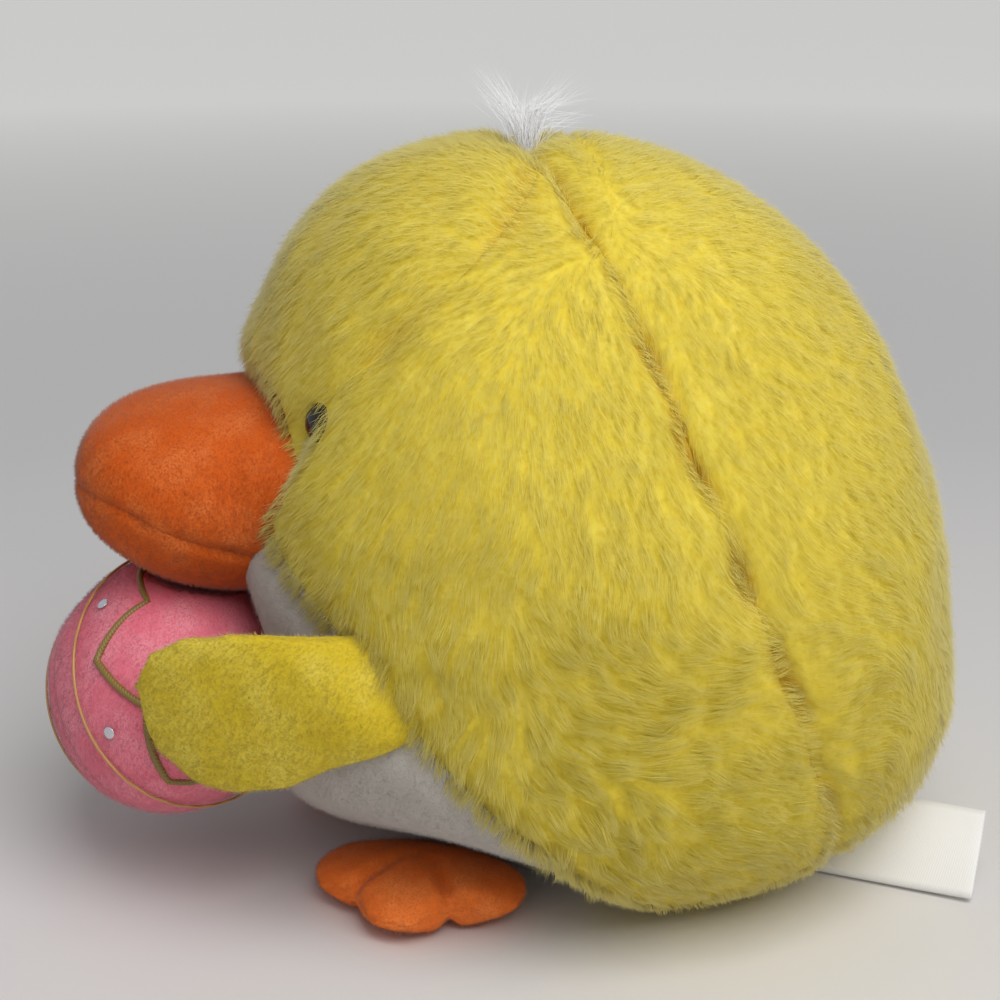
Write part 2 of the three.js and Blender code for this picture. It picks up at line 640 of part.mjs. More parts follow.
// The beak: an upper and a lower cover over stuffing, sewn on the face.
function beakPieces() {
  const tip = BEAK_PLACE.y - BEAK_REACH - BEAK_ROOT_DEPTH;
  const seam = sidesOf(seamPlane(tip, BEAK_HEIGHT + BEAK_SEAM_RISE, radians(BEAK_SEAM_ANGLE), false));
  const seat = bodySolid(FUR_THICKNESS - BACKING - SEAM_GAP, 0);
  const face = seat.add(bodyOutside.intersect(BELLY_SIDE));
  const cover = beakSolid(0).subtract(beakSolid(LIMB_FABRIC)).subtract(face);
  const stuffing = beakSolid(LIMB_FABRIC + SEAM_GAP).subtract(face);
  return [
    meshOf("beak_upper_panel", cover.intersect(seam.beyond), ORANGE_VELBOA),
    meshOf("beak_lower_panel", cover.intersect(seam.before), ORANGE_VELBOA),
    meshOf("beak_stuffing", stuffing, STUFFING),
  ];
}

// The egg: a left and a right cover over stuffing, sewn on the belly.
function eggPieces() {
  const pressed = bodyOutside.add(beakOutside);
  const cover = eggSolid(0).subtract(eggSolid(VELBOA_THICKNESS)).subtract(pressed);
  const stuffing = eggSolid(VELBOA_THICKNESS + SEAM_GAP).subtract(pressed);
  return [
    meshOf("egg_left_panel", cover.intersect(middle.beyond), PINK_VELBOA),
    meshOf("egg_right_panel", cover.intersect(middle.before), PINK_VELBOA),
    meshOf("egg_stuffing", stuffing, STUFFING),
  ];
}

// An eye and its washer.
function eyePieces(name, group) {
  group.add(meshOf(`${name}_eye`, solidOf(eyeGeometry()), BLACK_PLASTIC));
  group.add(meshOf(`${name}_eye_washer`, solidOf(washerGeometry()), CLEAR_PLASTIC));
  return group;
}

// A wing: its root edge on the fur of the flank, its tip beside the end of the egg.
function wingPieces(name, side) {
  const start = new THREE.Vector3(0, WAIST_FRONT + WING_ROOT_SETBACK, WING_ROOT_HEIGHT);
  const outward = new THREE.Vector3(side, 0, 0);
  const root = bodyExit(start, outward, 0);
  const tipSide = side * (EGG_HALF_LENGTH + WING_HALF_THICKNESS + SEAM_GAP);
  const sideways = tipSide - root.x;
  const forward = -Math.sqrt(WING_LENGTH ** 2 - sideways ** 2 - WING_TIP_DROP ** 2);
  const along = new THREE.Vector3(sideways, forward, -WING_TIP_DROP);
  const group = groupAt(root, along, outward);
  const pad = { halfThickness: WING_HALF_THICKNESS, share: () => 1 };
  const pieces = padPieces(wingOutline(), pad);
  const flank = intoGroup(bodyOutside, group);
  group.add(meshOf(`${name}_wing_outer_panel`, pieces.upper.subtract(flank), YELLOW_VELBOA));
  group.add(meshOf(`${name}_wing_inner_panel`, pieces.lower.subtract(flank), YELLOW_VELBOA));
  group.add(meshOf(`${name}_wing_stuffing`, pieces.stuffing.subtract(flank), STUFFING));
  return group;
}

// A foot: a pad on the floor, its heel under the belly.
function footPieces(name, side) {
  const turn = radians(FOOT_TURN_OUT);
  const along = new THREE.Vector3(side * Math.sin(turn), -Math.cos(turn), 0);
  const lift = FOOT_HALF_THICKNESS + SEAM_GAP / 2;
  const place = new THREE.Vector3(side * FOOT_SIDE, WAIST_FRONT + FOOT_SETBACK, lift);
  const group = groupAt(place, along, new THREE.Vector3(0, 0, 1));
  const heel = -FOOT_HEEL_REACH - FOOT_HEEL_RADIUS;
  const share = (x) => (x >= 0 ? 1 : 1 - (1 - FOOT_HEEL_PINCH) * (x / heel));
  const pieces = padPieces(footOutline(), { halfThickness: FOOT_HALF_THICKNESS, share });
  const underside = intoGroup(bodyOutside, group);
  group.add(meshOf(`${name}_foot_top_panel`, pieces.upper.subtract(underside), ORANGE_VELBOA));
  group.add(meshOf(`${name}_foot_sole_panel`, pieces.lower.subtract(underside), ORANGE_VELBOA));
  group.add(meshOf(`${name}_foot_stuffing`, pieces.stuffing.subtract(underside), STUFFING));
  return group;
}

// The tuft: a spray of tapered locks that rise out of the seam at the crown.
function tuftPiece() {
  const wallSlope = SEAM_VALLEY_DEPTH / SEAM_VALLEY_HALF_WIDTH;
  const rootHeight = TUFT_ROOT_RADIUS * wallSlope + SEAM_GAP;
  const length = TUFT_LENGTH + SEAM_VALLEY_DEPTH - rootHeight;
  const locks = [];
  for (let i = 0; i < TUFT_LOCKS; i += 1) {
    const lock = new THREE.CylinderGeometry(TUFT_TIP_RADIUS, TUFT_ROOT_RADIUS, length, TUFT_LOCK_FACETS);
    lock.rotateX(Math.PI / 2).translate(0, 0, length / 2);
    const turn = (2 * Math.PI * i) / (TUFT_LOCKS - 1);
    const lean = i === 0 ? 0 : radians(TUFT_LEAN);
    const pivot = TUFT_ROOT_RADIUS * Math.sin(lean);
    locks.push(solidOf(lock.rotateY(lean).rotateZ(turn).translate(0, 0, pivot)));
  }
  const spray = locks.reduce((joined, lock) => joined.add(lock));
  const top = bodyExit(SEAM_FORK, BACK_SEAM.along.clone().negate(), 0);
  const group = new THREE.Group();
  group.position.copy(top).addScaledVector(BACK_SEAM.along, SEAM_VALLEY_DEPTH - rootHeight);
  group.add(meshOf("crown_tuft", spray, WHITE_FIBRE));
  return group;
}

// Where the label leaves the body: its X axis points out and its Z axis runs across the ribbon.
function labelGroup() {
  const turn = radians(LABEL_TURN);
  const slant = radians(LABEL_SLANT);
  const outward = new THREE.Vector3(Math.sin(turn), Math.cos(turn), 0);
  const aside = new THREE.Vector3(-outward.y, outward.x, 0);
  const across = aside.clone().multiplyScalar(Math.sin(slant));
  across.z = Math.cos(slant);
  const middle = new THREE.Vector3(0, -BODY_LEAN * LABEL_HEIGHT, LABEL_HEIGHT);
  const upperCorner = middle.clone().addScaledVector(across, LABEL_WIDTH / 2);
  const clear = bodyExit(upperCorner, outward, -SEAM_GAP / 2).sub(upperCorner).length();
  return groupAt(middle.addScaledVector(outward, clear), outward, across);
}

// The label: a ribbon folded into a flat loop, its cut ends at the root.
function labelPiece() {
  const half = LABEL_FOLD_GAP / 2;
  const shape = new THREE.Shape();
  const bend = LABEL_LENGTH - half - LABEL_RIBBON;
  shape.moveTo(0, -half - LABEL_RIBBON);
  shape.lineTo(bend, -half - LABEL_RIBBON);
  shape.absarc(bend, 0, half + LABEL_RIBBON, -Math.PI / 2, Math.PI / 2, false);
  shape.lineTo(0, half + LABEL_RIBBON);
  shape.lineTo(0, half);
  shape.lineTo(bend, half);
  shape.absarc(bend, 0, half, Math.PI / 2, -Math.PI / 2, true);
  shape.lineTo(0, -half);
  const sweep = { depth: LABEL_WIDTH, bevelEnabled: false, curveSegments: LABEL_FOLD_STEPS };
  const ribbon = new THREE.ExtrudeGeometry(shape, sweep);
  const group = labelGroup();
  group.add(meshOf("sewn_label", solidOf(ribbon.translate(0, 0, -LABEL_WIDTH / 2)), SATIN));
  return group;
}

const chick = new THREE.Group();
chick.add(...bodyCovers(), bodyStuffing(), ...beakPieces(), ...eggPieces());
chick.add(eyePieces("left", eyes.left), eyePieces("right", eyes.right));
chick.add(wingPieces("left", 1), wingPieces("right", -1));
chick.add(footPieces("left", 1), footPieces("right", -1));
chick.add(tuftPiece(), labelPiece());

export default chick;
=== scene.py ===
"""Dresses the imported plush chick: fur, short pile, stuffed limbs, domed eyes, a tuft and a blank label."""

import json
import logging
import math
from collections.abc import Callable
from dataclasses import dataclass, field
from enum import Enum

import bmesh
import bpy
import numpy as np
from mathutils import Matrix, Vector
from mathutils.kdtree import KDTree


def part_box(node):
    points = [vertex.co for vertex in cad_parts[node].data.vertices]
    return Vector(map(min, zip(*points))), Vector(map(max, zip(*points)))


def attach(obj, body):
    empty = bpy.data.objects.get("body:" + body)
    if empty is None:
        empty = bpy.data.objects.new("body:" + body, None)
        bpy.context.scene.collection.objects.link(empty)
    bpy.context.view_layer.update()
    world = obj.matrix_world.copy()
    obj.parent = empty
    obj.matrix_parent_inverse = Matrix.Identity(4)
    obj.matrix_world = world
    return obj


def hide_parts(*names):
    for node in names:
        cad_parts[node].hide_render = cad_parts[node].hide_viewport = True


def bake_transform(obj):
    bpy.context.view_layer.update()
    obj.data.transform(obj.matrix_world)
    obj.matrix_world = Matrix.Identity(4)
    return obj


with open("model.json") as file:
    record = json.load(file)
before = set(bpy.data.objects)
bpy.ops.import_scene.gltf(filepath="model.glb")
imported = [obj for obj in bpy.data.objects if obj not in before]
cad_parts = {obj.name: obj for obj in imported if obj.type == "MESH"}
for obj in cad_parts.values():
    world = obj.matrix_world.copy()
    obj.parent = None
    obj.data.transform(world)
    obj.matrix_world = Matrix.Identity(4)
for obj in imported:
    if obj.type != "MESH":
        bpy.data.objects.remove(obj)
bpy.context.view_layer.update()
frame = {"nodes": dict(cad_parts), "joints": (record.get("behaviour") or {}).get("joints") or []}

MM = 0.001
SEED = 20
BAKE_MAP = "OFBake"  # the strands' own map: across it runs their tone, up it their length
TONE_WIDTH = 0.004  # of that map, for one strand
# Painted shade: this attribute marks where the pelt is painted darker at the bottoms of the seams.
SEAM_SHADE = "groove"  # a cover's attribute: how near a point is to the bottom of a seam
FLOOR_CLEARANCE = 0.3 * MM
BACKING = 1.8 * MM  # the thickness of a short pile's fabric

LOG = logging.getLogger("plush_chick")

Colour = tuple[float, float, float]
Points = np.ndarray
Shape = Callable[[Points], Points]
Comb = Callable[[Points, Points], Points]
Share = Callable[[Points], np.ndarray]
Node, Socket, Tree = bpy.types.Node, bpy.types.NodeSocket, bpy.types.NodeTree
Mesh, Piece, Material = bpy.types.Mesh, bpy.types.Object, bpy.types.Material
BMesh = bmesh.types.BMesh


class Side(Enum):
    """The chick's own left and right."""

    LEFT = 1
    RIGHT = -1

    @property
    def word(self) -> str:
        """The side's name in a piece's name."""
        return self.name.lower()


# Small tools for meshes


def unit(vectors: Points) -> Points:
    """Scales each row to a length of one."""
    return vectors / np.maximum(np.linalg.norm(vectors, axis=-1, keepdims=True), 1e-12)


def points_of(mesh: Mesh) -> Points:
    """The places of a mesh's vertices, one row each."""
    found = np.empty(len(mesh.vertices) * 3, np.float32)
    mesh.vertices.foreach_get("co", found)
    return found.reshape(-1, 3).astype(float)


def move_points(mesh: Mesh, points: Points) -> None:
    """Puts a mesh's vertices at new places."""
    mesh.vertices.foreach_set("co", points.astype(np.float32).ravel())
    mesh.update()


def normals_of(mesh: Mesh) -> Points:
    """The outward direction at each of a mesh's vertices."""
    found = np.empty(len(mesh.vertices) * 3, np.float32)
    mesh.vertex_normals.foreach_get("vector", found)
    return found.reshape(-1, 3).astype(float)


def shaped(bm: BMesh, shape: Shape) -> None:
    """Moves every vertex of a bmesh by a rule for all of them at once.

    Args:
        bm: The bmesh to change.
        shape: Gives the new places for the old ones.
    """
    old = np.array([vertex.co for vertex in bm.verts], float)
    for vertex, place in zip(bm.verts, shape(old)):
        vertex.co = place


def linked(name: str, data: bpy.types.ID) -> Piece:
    """A new object in the scene."""
    piece = bpy.data.objects.new(name, data)
    bpy.context.scene.collection.objects.link(piece)
    return piece


def new_piece(name: str, bm: BMesh, material: Material) -> Piece:
    """Makes a finished, smooth object of a bmesh and frees the bmesh.

    Args:
        name: The piece's name.
        bm: Its shape, in the chick's frame.
        material: Its finish.

    Returns:
        The object, at the origin.
    """
    mesh = bpy.data.meshes.new(name)
    bm.to_mesh(mesh)
    bm.free()
    mesh.materials.append(material)
    mesh.polygons.foreach_set("use_smooth", np.ones(len(mesh.polygons), bool))
    return linked(name, mesh)


def dress(
    piece: Piece,
    body: str,
    slot: str,
    *nodes: str,
    fill: float | None = None,
    bend: tuple[Vector, Vector] | None = None,
) -> None:
    """Sets a piece on its body and hides the nodes that it stands for; with a bend, it is left in the chick's
    frame instead.

    Args:
        piece: The finished piece.
        body: The body that carries it.
        slot: The record's material slot of its finish; not used.
        nodes: The nodes that it stands for.
        fill: How full it is, for a stuffed piece; not used.
        bend: If given, the piece stays in the chick's frame and is not set on its body; its two points are
            not used.
    """
    if bend is None:
        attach(piece, body)
    else:
        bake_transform(piece)
    if nodes:
        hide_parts(*nodes)
    LOG.info("%s rides on %s, %d faces", piece.name, body, len(piece.data.polygons))


def lumps(points: Points, size: float, seed: int, waves: int = 28) -> np.ndarray:
    """A smooth uneven field, from about -1 to 1.

    Args:
        points: Where to read it.
        size: About how wide a lump is.
        seed: Picks the field.
        waves: How many waves make it.

    Returns:
        One value a point.
    """
    rng = np.random.default_rng(seed)
    directions = unit(rng.normal(size=(waves, 3))) * (math.pi / size)
    directions *= rng.uniform(0.6, 1.4, (waves, 1))
    phases = rng.uniform(0, 2 * math.pi, waves)
    return np.sin(points @ directions.T + phases).sum(1) / math.sqrt(waves)


def hump(distance: np.ndarray, width: float) -> np.ndarray:
    """1 at no distance, falling smoothly to nothing a few widths away."""
    return np.exp(-((distance / width) ** 2))


# Finishes


class NodeKit:
    """Short ways to add nodes to one tree."""

    def __init__(self, tree: Tree) -> None:
        """Keeps the tree."""
        self.tree = tree

    def add(self, kind: str, **settings: object) -> Node:
        """A new node with its settings."""
        node = self.tree.nodes.new(kind)
        for name, value in settings.items():
            setattr(node, name, value)
        return node

    def join(self, source: Socket, target: Socket) -> None:
        """Links two sockets."""
        self.tree.links.new(source, target)

    def give(self, value: Socket | float | Colour, target: Socket) -> None:
        """Links a socket to another, or sets a number or a colour on it."""
        if isinstance(value, Socket):
            self.join(value, target)
        else:
            target.default_value = (*value, 1.0) if isinstance(value, tuple) else value

    def noise(self, place: Socket, scale: Socket | float, detail: float) -> Socket:
        """A noise value at a place."""
        node = self.add("ShaderNodeTexNoise")
        self.give(detail, node.inputs["Detail"])
        self.give(place, node.inputs["Vector"])
        self.give(scale, node.inputs["Scale"])
        return node.outputs["Fac"]

    def ranged(
        self, value: Socket, low: float, high: float, new_low: float = 0.0, new_high: float = 1.0
    ) -> Socket:
        """The value stretched so that low and high become the new ones."""
        node = self.add("ShaderNodeMapRange")
        ends = {"From Min": low, "From Max": high, "To Min": new_low, "To Max": new_high, "Value": value}
        for name, end in ends.items():
            self.give(end, node.inputs[name])
        return node.outputs["Result"]

    def mixed(
        self, share: Socket | float, first: Socket | Colour, second: Socket | Colour, way: str = "MIX"
    ) -> Socket:
        """A blend of two colours."""
        node = self.add("ShaderNodeMix", data_type="RGBA", blend_type=way)
        self.give(share, node.inputs["Factor"])
        for name, colour in (("A", first), ("B", second)):
            self.give(colour, next(s for s in node.inputs if s.name == name and s.type == "RGBA"))
        return next(socket for socket in node.outputs if socket.type == "RGBA")

    def reckoned(self, operation: str, first: Socket, second: Socket) -> Socket:
        """Two values made into one by an operation."""
        node = self.add("ShaderNodeMath", operation=operation)
        self.join(first, node.inputs[0])
        self.join(second, node.inputs[1])
        return node.outputs["Value"]

    def bumped(self, height: Socket, strength: float, distance: float, shader: Node) -> None:
        """Gives a shader a relief."""
        node = self.add("ShaderNodeBump")
        self.give(strength, node.inputs["Strength"])
        self.give(distance, node.inputs["Distance"])
        self.give(height, node.inputs["Height"])
        self.join(node.outputs["Normal"], shader.inputs["Normal"])


def new_group(name: str, inputs: dict[str, str], outputs: dict[str, str]) -> tuple[NodeKit, Node, Node]:
    """Starts a shader node group.

    Args:
        name: Its name.
        inputs: The kind of socket for each input's name.
        outputs: The kind of socket for each output's name.

    Returns:
        Its tree in a kit, its input node and its output node.
    """
    tree = bpy.data.node_groups.new(name, "ShaderNodeTree")
    for label, kind in inputs.items():
        tree.interface.new_socket(label, in_out="INPUT", socket_type=kind)
    for label, kind in outputs.items():
        tree.interface.new_socket(label, in_out="OUTPUT", socket_type=kind)
    kit = NodeKit(tree)
    return kit, kit.add("NodeGroupInput"), kit.add("NodeGroupOutput")


def strand_group() -> Tree:
    """The colours of a strand: from root to tip up its map, darker at the root as painted shade deep in the
    pile and paler at the tip as a painted highlight, and by its tone across the map.
    """
    name = "strand_tones"
    if name in bpy.data.node_groups:
        return bpy.data.node_groups[name]
    colour = "NodeSocketColor"
    kit, given, made = new_group(
        name, {"Root": colour, "Middle": colour, "Tip": colour, "Shade": colour}, {"Color": colour}
    )
    place = kit.add("ShaderNodeUVMap", uv_map=BAKE_MAP)
    parts = kit.add("ShaderNodeSeparateXYZ")
    kit.join(place.outputs["UV"], parts.inputs["Vector"])
    low = kit.ranged(parts.outputs["Y"], 0.0, 0.45)
    high = kit.ranged(parts.outputs["Y"], 0.4, 1.0)
    lower = kit.mixed(low, given.outputs["Root"], given.outputs["Middle"])
    light = kit.mixed(high, lower, given.outputs["Tip"])
    shaded = kit.mixed(1.0, light, given.outputs["Shade"], "MULTIPLY")
    kit.join(kit.mixed(parts.outputs["X"], shaded, light), made.inputs["Color"])
    return kit.tree


def nap_group() -> Tree:
    """The look of brushed fabric: fine grain, and patches where the pile lies another way, painted paler as
    that pile's sheen.
    """
    name = "brushed_nap"
    if name in bpy.data.node_groups:
        return bpy.data.node_groups[name]
    colour, number = "NodeSocketColor", "NodeSocketFloat"
    kit, given, made = new_group(
        name,
        {"Base": colour, "Pale": colour, "Deep": colour, "Grain": number, "Patch": number},
        {"Color": colour, "Height": number},
    )
    place = kit.add("ShaderNodeTexCoord").outputs["Object"]
    grain = kit.noise(place, given.outputs["Grain"], 2.0)
    patch = kit.noise(place, given.outputs["Patch"], 3.0)
    # Painted sheen: paler patches where the pile lies another way.
    sheen_patched = kit.mixed(kit.ranged(patch, 0.42, 0.72), given.outputs["Base"], given.outputs["Pale"])
    kit.join(kit.mixed(kit.ranged(grain, 0.55, 0.3), sheen_patched, given.outputs["Deep"]), made.inputs["Color"])
    kit.join(grain, made.inputs["Height"])
    return kit.tree


def placed_group(kit: NodeKit, tree: Tree, **values: float | Colour) -> Node:
    """A group node with its values set."""
    node = kit.add("ShaderNodeGroup", node_tree=tree)
    for name, value in values.items():
        kit.give(value, node.inputs[name])
    return node


def new_material(name: str, constants: dict[str, float | Colour]) -> tuple[Material, NodeKit, Node]:
    """A material with its main shader.

    Args:
        name: Its name.
        constants: What is the same all over it, by the shader's own names.

    Returns:
        The material, its tree in a kit, and the shader.
    """
    material = bpy.data.materials.new(name)
    material.use_nodes = True
    kit, shader = NodeKit(material.node_tree), material.node_tree.nodes["Principled BSDF"]
    for label, value in constants.items():
        kit.give(value, shader.inputs[label])
    return material, kit, shader


@dataclass(frozen=True)
class StrandFinish:
    """The finish of single strands of pile."""

    name: str
    root: Colour
    middle: Colour
    tip: Colour
    shade: Colour
    roughness: float = 0.6
    sheen: float = 0.25
    specular: float = 0.25

    def material(self) -> Material:
        """The finish as a material."""
        constants = {
            "Roughness": self.roughness,
            "Specular IOR Level": self.specular,
            "Sheen Weight": self.sheen,
        }
        material, kit, shader = new_material(self.name, constants)
        tones = placed_group(
            kit, strand_group(), Root=self.root, Middle=self.middle, Tip=self.tip, Shade=self.shade
        )
        kit.join(tones.outputs["Color"], shader.inputs["Base Color"])
        return material


@dataclass(frozen=True)
class NapFinish:
    """The finish of a brushed fabric with a short pile."""

    name: str
    base: Colour
    pale: Colour
    deep: Colour
    grain: float = 1600.0
    patch: float = 90.0
    bump: float = 0.25
    bump_height: float = 0.6 * MM
    sheen: float = 0.5
    sheen_roughness: float = 0.4
    # painted shade: the darker colour painted in at the bottoms of the seams
    groove: Colour | None = None
    roughness: float = 0.9
    specular: float = 0.15

    def material(self) -> Material:
        """The finish as a material."""
        constants = {
            "Roughness": self.roughness,
            "Specular IOR Level": self.specular,
            "Sheen Weight": self.sheen,
            "Sheen Roughness": self.sheen_roughness,
            "Sheen Tint": self.pale,
        }
        material, kit, shader = new_material(self.name, constants)
        nap = placed_group(
            kit,
            nap_group(),
            Base=self.base,
            Pale=self.pale,
            Deep=self.deep,
            Grain=self.grain,
            Patch=self.patch,
        )
        colour = nap.outputs["Color"]
        if self.groove:
            # Painted shade: darkens the pelt towards the bottoms of the seams.
            depth = kit.add("ShaderNodeAttribute", attribute_name=SEAM_SHADE)
            colour = kit.mixed(depth.outputs["Fac"], colour, self.groove)
        kit.join(colour, shader.inputs["Base Color"])
        kit.bumped(nap.outputs["Height"], self.bump, self.bump_height, shader)
        return material


# Every strand finish is painted darker at the root, as shade deep in the pile, and paler at the tip, as a
# highlight.
YELLOW_STRANDS = StrandFinish(
    "yellow_fur", (0.82, 0.63, 0.06), (0.85, 0.69, 0.085), (0.93, 0.84, 0.29), (0.91, 0.86, 0.72)
)
YELLOW_PELT = NapFinish(
    "yellow_pelt",
    (0.83, 0.65, 0.065),
    (0.86, 0.7, 0.1),
    (0.78, 0.58, 0.05),
    grain=500.0,
    patch=120.0,
    # painted shade at the bottoms of the seams
    groove=(0.6, 0.32, 0.02),
)
ORANGE_NAP = NapFinish("orange_velboa", (0.66, 0.115, 0.013), (0.74, 0.19, 0.045), (0.58, 0.09, 0.009))
ORANGE_STRANDS = StrandFinish(
    "orange_nap", (0.61, 0.1, 0.01), (0.67, 0.12, 0.015), (0.76, 0.22, 0.06), (0.92, 0.9, 0.87)
)
# Painted light: the feet's copy of the orange velboa and its nap, painted lighter than the beak's same
# fabric.
LIT_FOOT_NAP = NapFinish("orange_velboa_feet", (0.88, 0.19, 0.03), (0.93, 0.28, 0.07), (0.8, 0.15, 0.02))
LIT_FOOT_STRANDS = StrandFinish(
    "orange_nap_feet", (0.82, 0.16, 0.02), (0.88, 0.2, 0.035), (0.94, 0.34, 0.1), (0.92, 0.9, 0.87)
)
PINK_NAP = NapFinish("pink_velboa", (0.82, 0.19, 0.255), (0.86, 0.32, 0.38), (0.77, 0.16, 0.22))
PINK_STRANDS = StrandFinish(
    "pink_nap", (0.79, 0.17, 0.235), (0.83, 0.21, 0.275), (0.89, 0.4, 0.46), (0.93, 0.9, 0.91)
)
WING_NAP = NapFinish(
    "yellow_velboa", (0.68, 0.51, 0.03), (0.76, 0.62, 0.1), (0.63, 0.45, 0.022), grain=1300.0, patch=70.0
)
WING_STRANDS = StrandFinish(
    "yellow_nap", (0.65, 0.47, 0.026), (0.69, 0.52, 0.035), (0.8, 0.68, 0.16), (0.91, 0.88, 0.78)
)
# Painted shade: the white velboa of the belly and the base, and its nap, painted a darker warm grey for the
# shade under the fur and the egg.
SHADED_WHITE_NAP = NapFinish(
    "white_velboa", (0.44, 0.405, 0.365), (0.48, 0.445, 0.405), (0.4, 0.365, 0.33), patch=60.0
)
SHADED_WHITE_STRANDS = StrandFinish(
    "white_nap", (0.45, 0.415, 0.375), (0.48, 0.445, 0.405), (0.53, 0.495, 0.455), (0.95, 0.94, 0.93)
)
TUFT_STRANDS = StrandFinish(
    "white_fibre", (0.84, 0.82, 0.78), (0.9, 0.89, 0.87), (0.95, 0.94, 0.93), (0.9, 0.9, 0.92), 0.4, 0.1
)


@dataclass(frozen=True)
class GlossFinish:
    """Polished plastic with faint moulding marks."""

    name: str
    base: Colour
    low: float
    high: float
    marks: float = 260.0

    def material(self) -> Material:
        """The finish as a material."""
        material, kit, shader = new_material(self.name, {"Base Color": self.base})
        place = kit.add("ShaderNodeTexCoord").outputs["Object"]
        smear = kit.noise(place, self.marks, 4.0)
        kit.join(kit.ranged(smear, 0.0, 1.0, self.low, self.high), shader.inputs["Roughness"])
        return material


@dataclass(frozen=True)
class ThreadFinish:
    """Thread, ribbon or foil, with fine lines across it."""

    name: str
    base: Colour
    dark: Colour
    lines: float
    roughness: float
    metallic: float = 0.0
    waver: float = 1.5
    bump: float = 0.3
    bump_height: float = 0.1 * MM

    def material(self) -> Material:
        """The finish as a material."""
        constants = {"Roughness": self.roughness, "Metallic": self.metallic}
        material, kit, shader = new_material(self.name, constants)
        wave = kit.add("ShaderNodeTexWave", bands_direction="DIAGONAL")
        kit.join(kit.add("ShaderNodeTexCoord").outputs["Object"], wave.inputs["Vector"])
        kit.give(self.lines, wave.inputs["Scale"])
        kit.give(self.waver, wave.inputs["Distortion"])
        colour = kit.mixed(wave.outputs["Fac"], self.dark, self.base)
        kit.join(colour, shader.inputs["Base Color"])
        kit.bumped(wave.outputs["Fac"], self.bump, self.bump_height, shader)
        return material


EYE_BLACK = GlossFinish("black_plastic", (0.004, 0.004, 0.005), 0.06, 0.16)
WASHER_MILK = GlossFinish("washer_plastic", (0.72, 0.72, 0.7), 0.35, 0.5)
GOLD_THREAD = ThreadFinish("gold_thread", (0.62, 0.36, 0.12), (0.42, 0.22, 0.06), 900.0, 0.45)
OLIVE_THREAD = ThreadFinish("olive_thread", (0.3, 0.2, 0.045), (0.17, 0.11, 0.02), 700.0, 0.5)
SILVER_FOIL = ThreadFinish("silver_foil", (0.8, 0.8, 0.84), (0.5, 0.5, 0.55), 1400.0, 0.25, 0.9)
WHITE_SATIN = ThreadFinish("white_satin", (0.88, 0.87, 0.85), (0.8, 0.79, 0.77), 900.0, 0.42)


# Pile


def scattered(mesh: Mesh, count: int, rng: np.random.Generator) -> tuple[Points, Points]:
    """Spreads points evenly over a mesh.

    Args:
        mesh: The fabric.
        count: How many points.
        rng: The source of chance.

    Returns:
        The points and the fabric's outward directions there.
    """
    mesh.calc_loop_triangles()
    corners = np.empty(len(mesh.loop_triangles) * 3, np.int32)
    mesh.loop_triangles.foreach_get("vertices", corners)
    corners = corners.reshape(-1, 3)
    places, normals = points_of(mesh), normals_of(mesh)
    first, second, third = (places[corners[:, i]] for i in range(3))
    area = np.linalg.norm(np.cross(second - first, third - first), axis=1)
    chosen = corners[rng.choice(len(area), count, p=area / area.sum())]
    shares = rng.dirichlet((1.0, 1.0, 1.0), count)[:, :, None]
    return (places[chosen] * shares).sum(1), unit((normals[chosen] * shares).sum(1))


def nearest(points: Points, centres: Points) -> np.ndarray:
    """The index of the nearest centre to each point."""
    tree = KDTree(len(centres))
    for index, centre in enumerate(centres):
        tree.insert(centre, index)
    tree.balance()
    return np.array([tree.find(point)[1] for point in points])


def needle(bent: bool) -> tuple[Points, np.ndarray]:
    """One strand: three-sided, with a point at the tip, and at the root as well if it is bent.

    Args:
        bent: Whether it is thickest at a waist, where it bends, or at its root.

    Returns:
        Its vertices, with root, waist and tip at heights 0, 1 and 2, and its triangles.
    """
    bm = bmesh.new()
    bmesh.ops.create_cone(bm, cap_ends=True, segments=3, radius1=1.0, radius2=0.0, depth=1.0)
    bmesh.ops.remove_doubles(bm, verts=bm.verts, dist=1e-4)
    bmesh.ops.translate(bm, verts=bm.verts, vec=(0.0, 0.0, 1.5))
    base = min(bm.faces, key=lambda face: face.calc_center_median().z)
    if bent:
        root = bmesh.ops.poke(bm, faces=[base])["verts"][0]
        root.co.z = 0.0
    else:
        bmesh.ops.translate(bm, verts=base.verts, vec=(0.0, 0.0, -1.0))
    bmesh.ops.recalc_face_normals(bm, faces=bm.faces)
    bm.verts.index_update()
    places = np.array([vertex.co for vertex in bm.verts], float)
    faces = np.array([[vertex.index for vertex in face.verts] for face in bm.faces])
    bm.free()
    return places, faces


def whole(points: Points) -> np.ndarray:
    """A share of 1 at every point."""
    return np.ones(len(points))


def none(points: Points) -> np.ndarray:
    """A share of 0 at every point."""
    return np.zeros(len(points))


@dataclass(frozen=True)
class Grooming:
    """How a pile lies and is cut over its fabric: each field gives a share or a direction at points."""

    comb: Comb
    trim: Share = whole
    tint: Share = none
    tousle: Share = whole
    stand: Share = whole
    dense: Share = whole


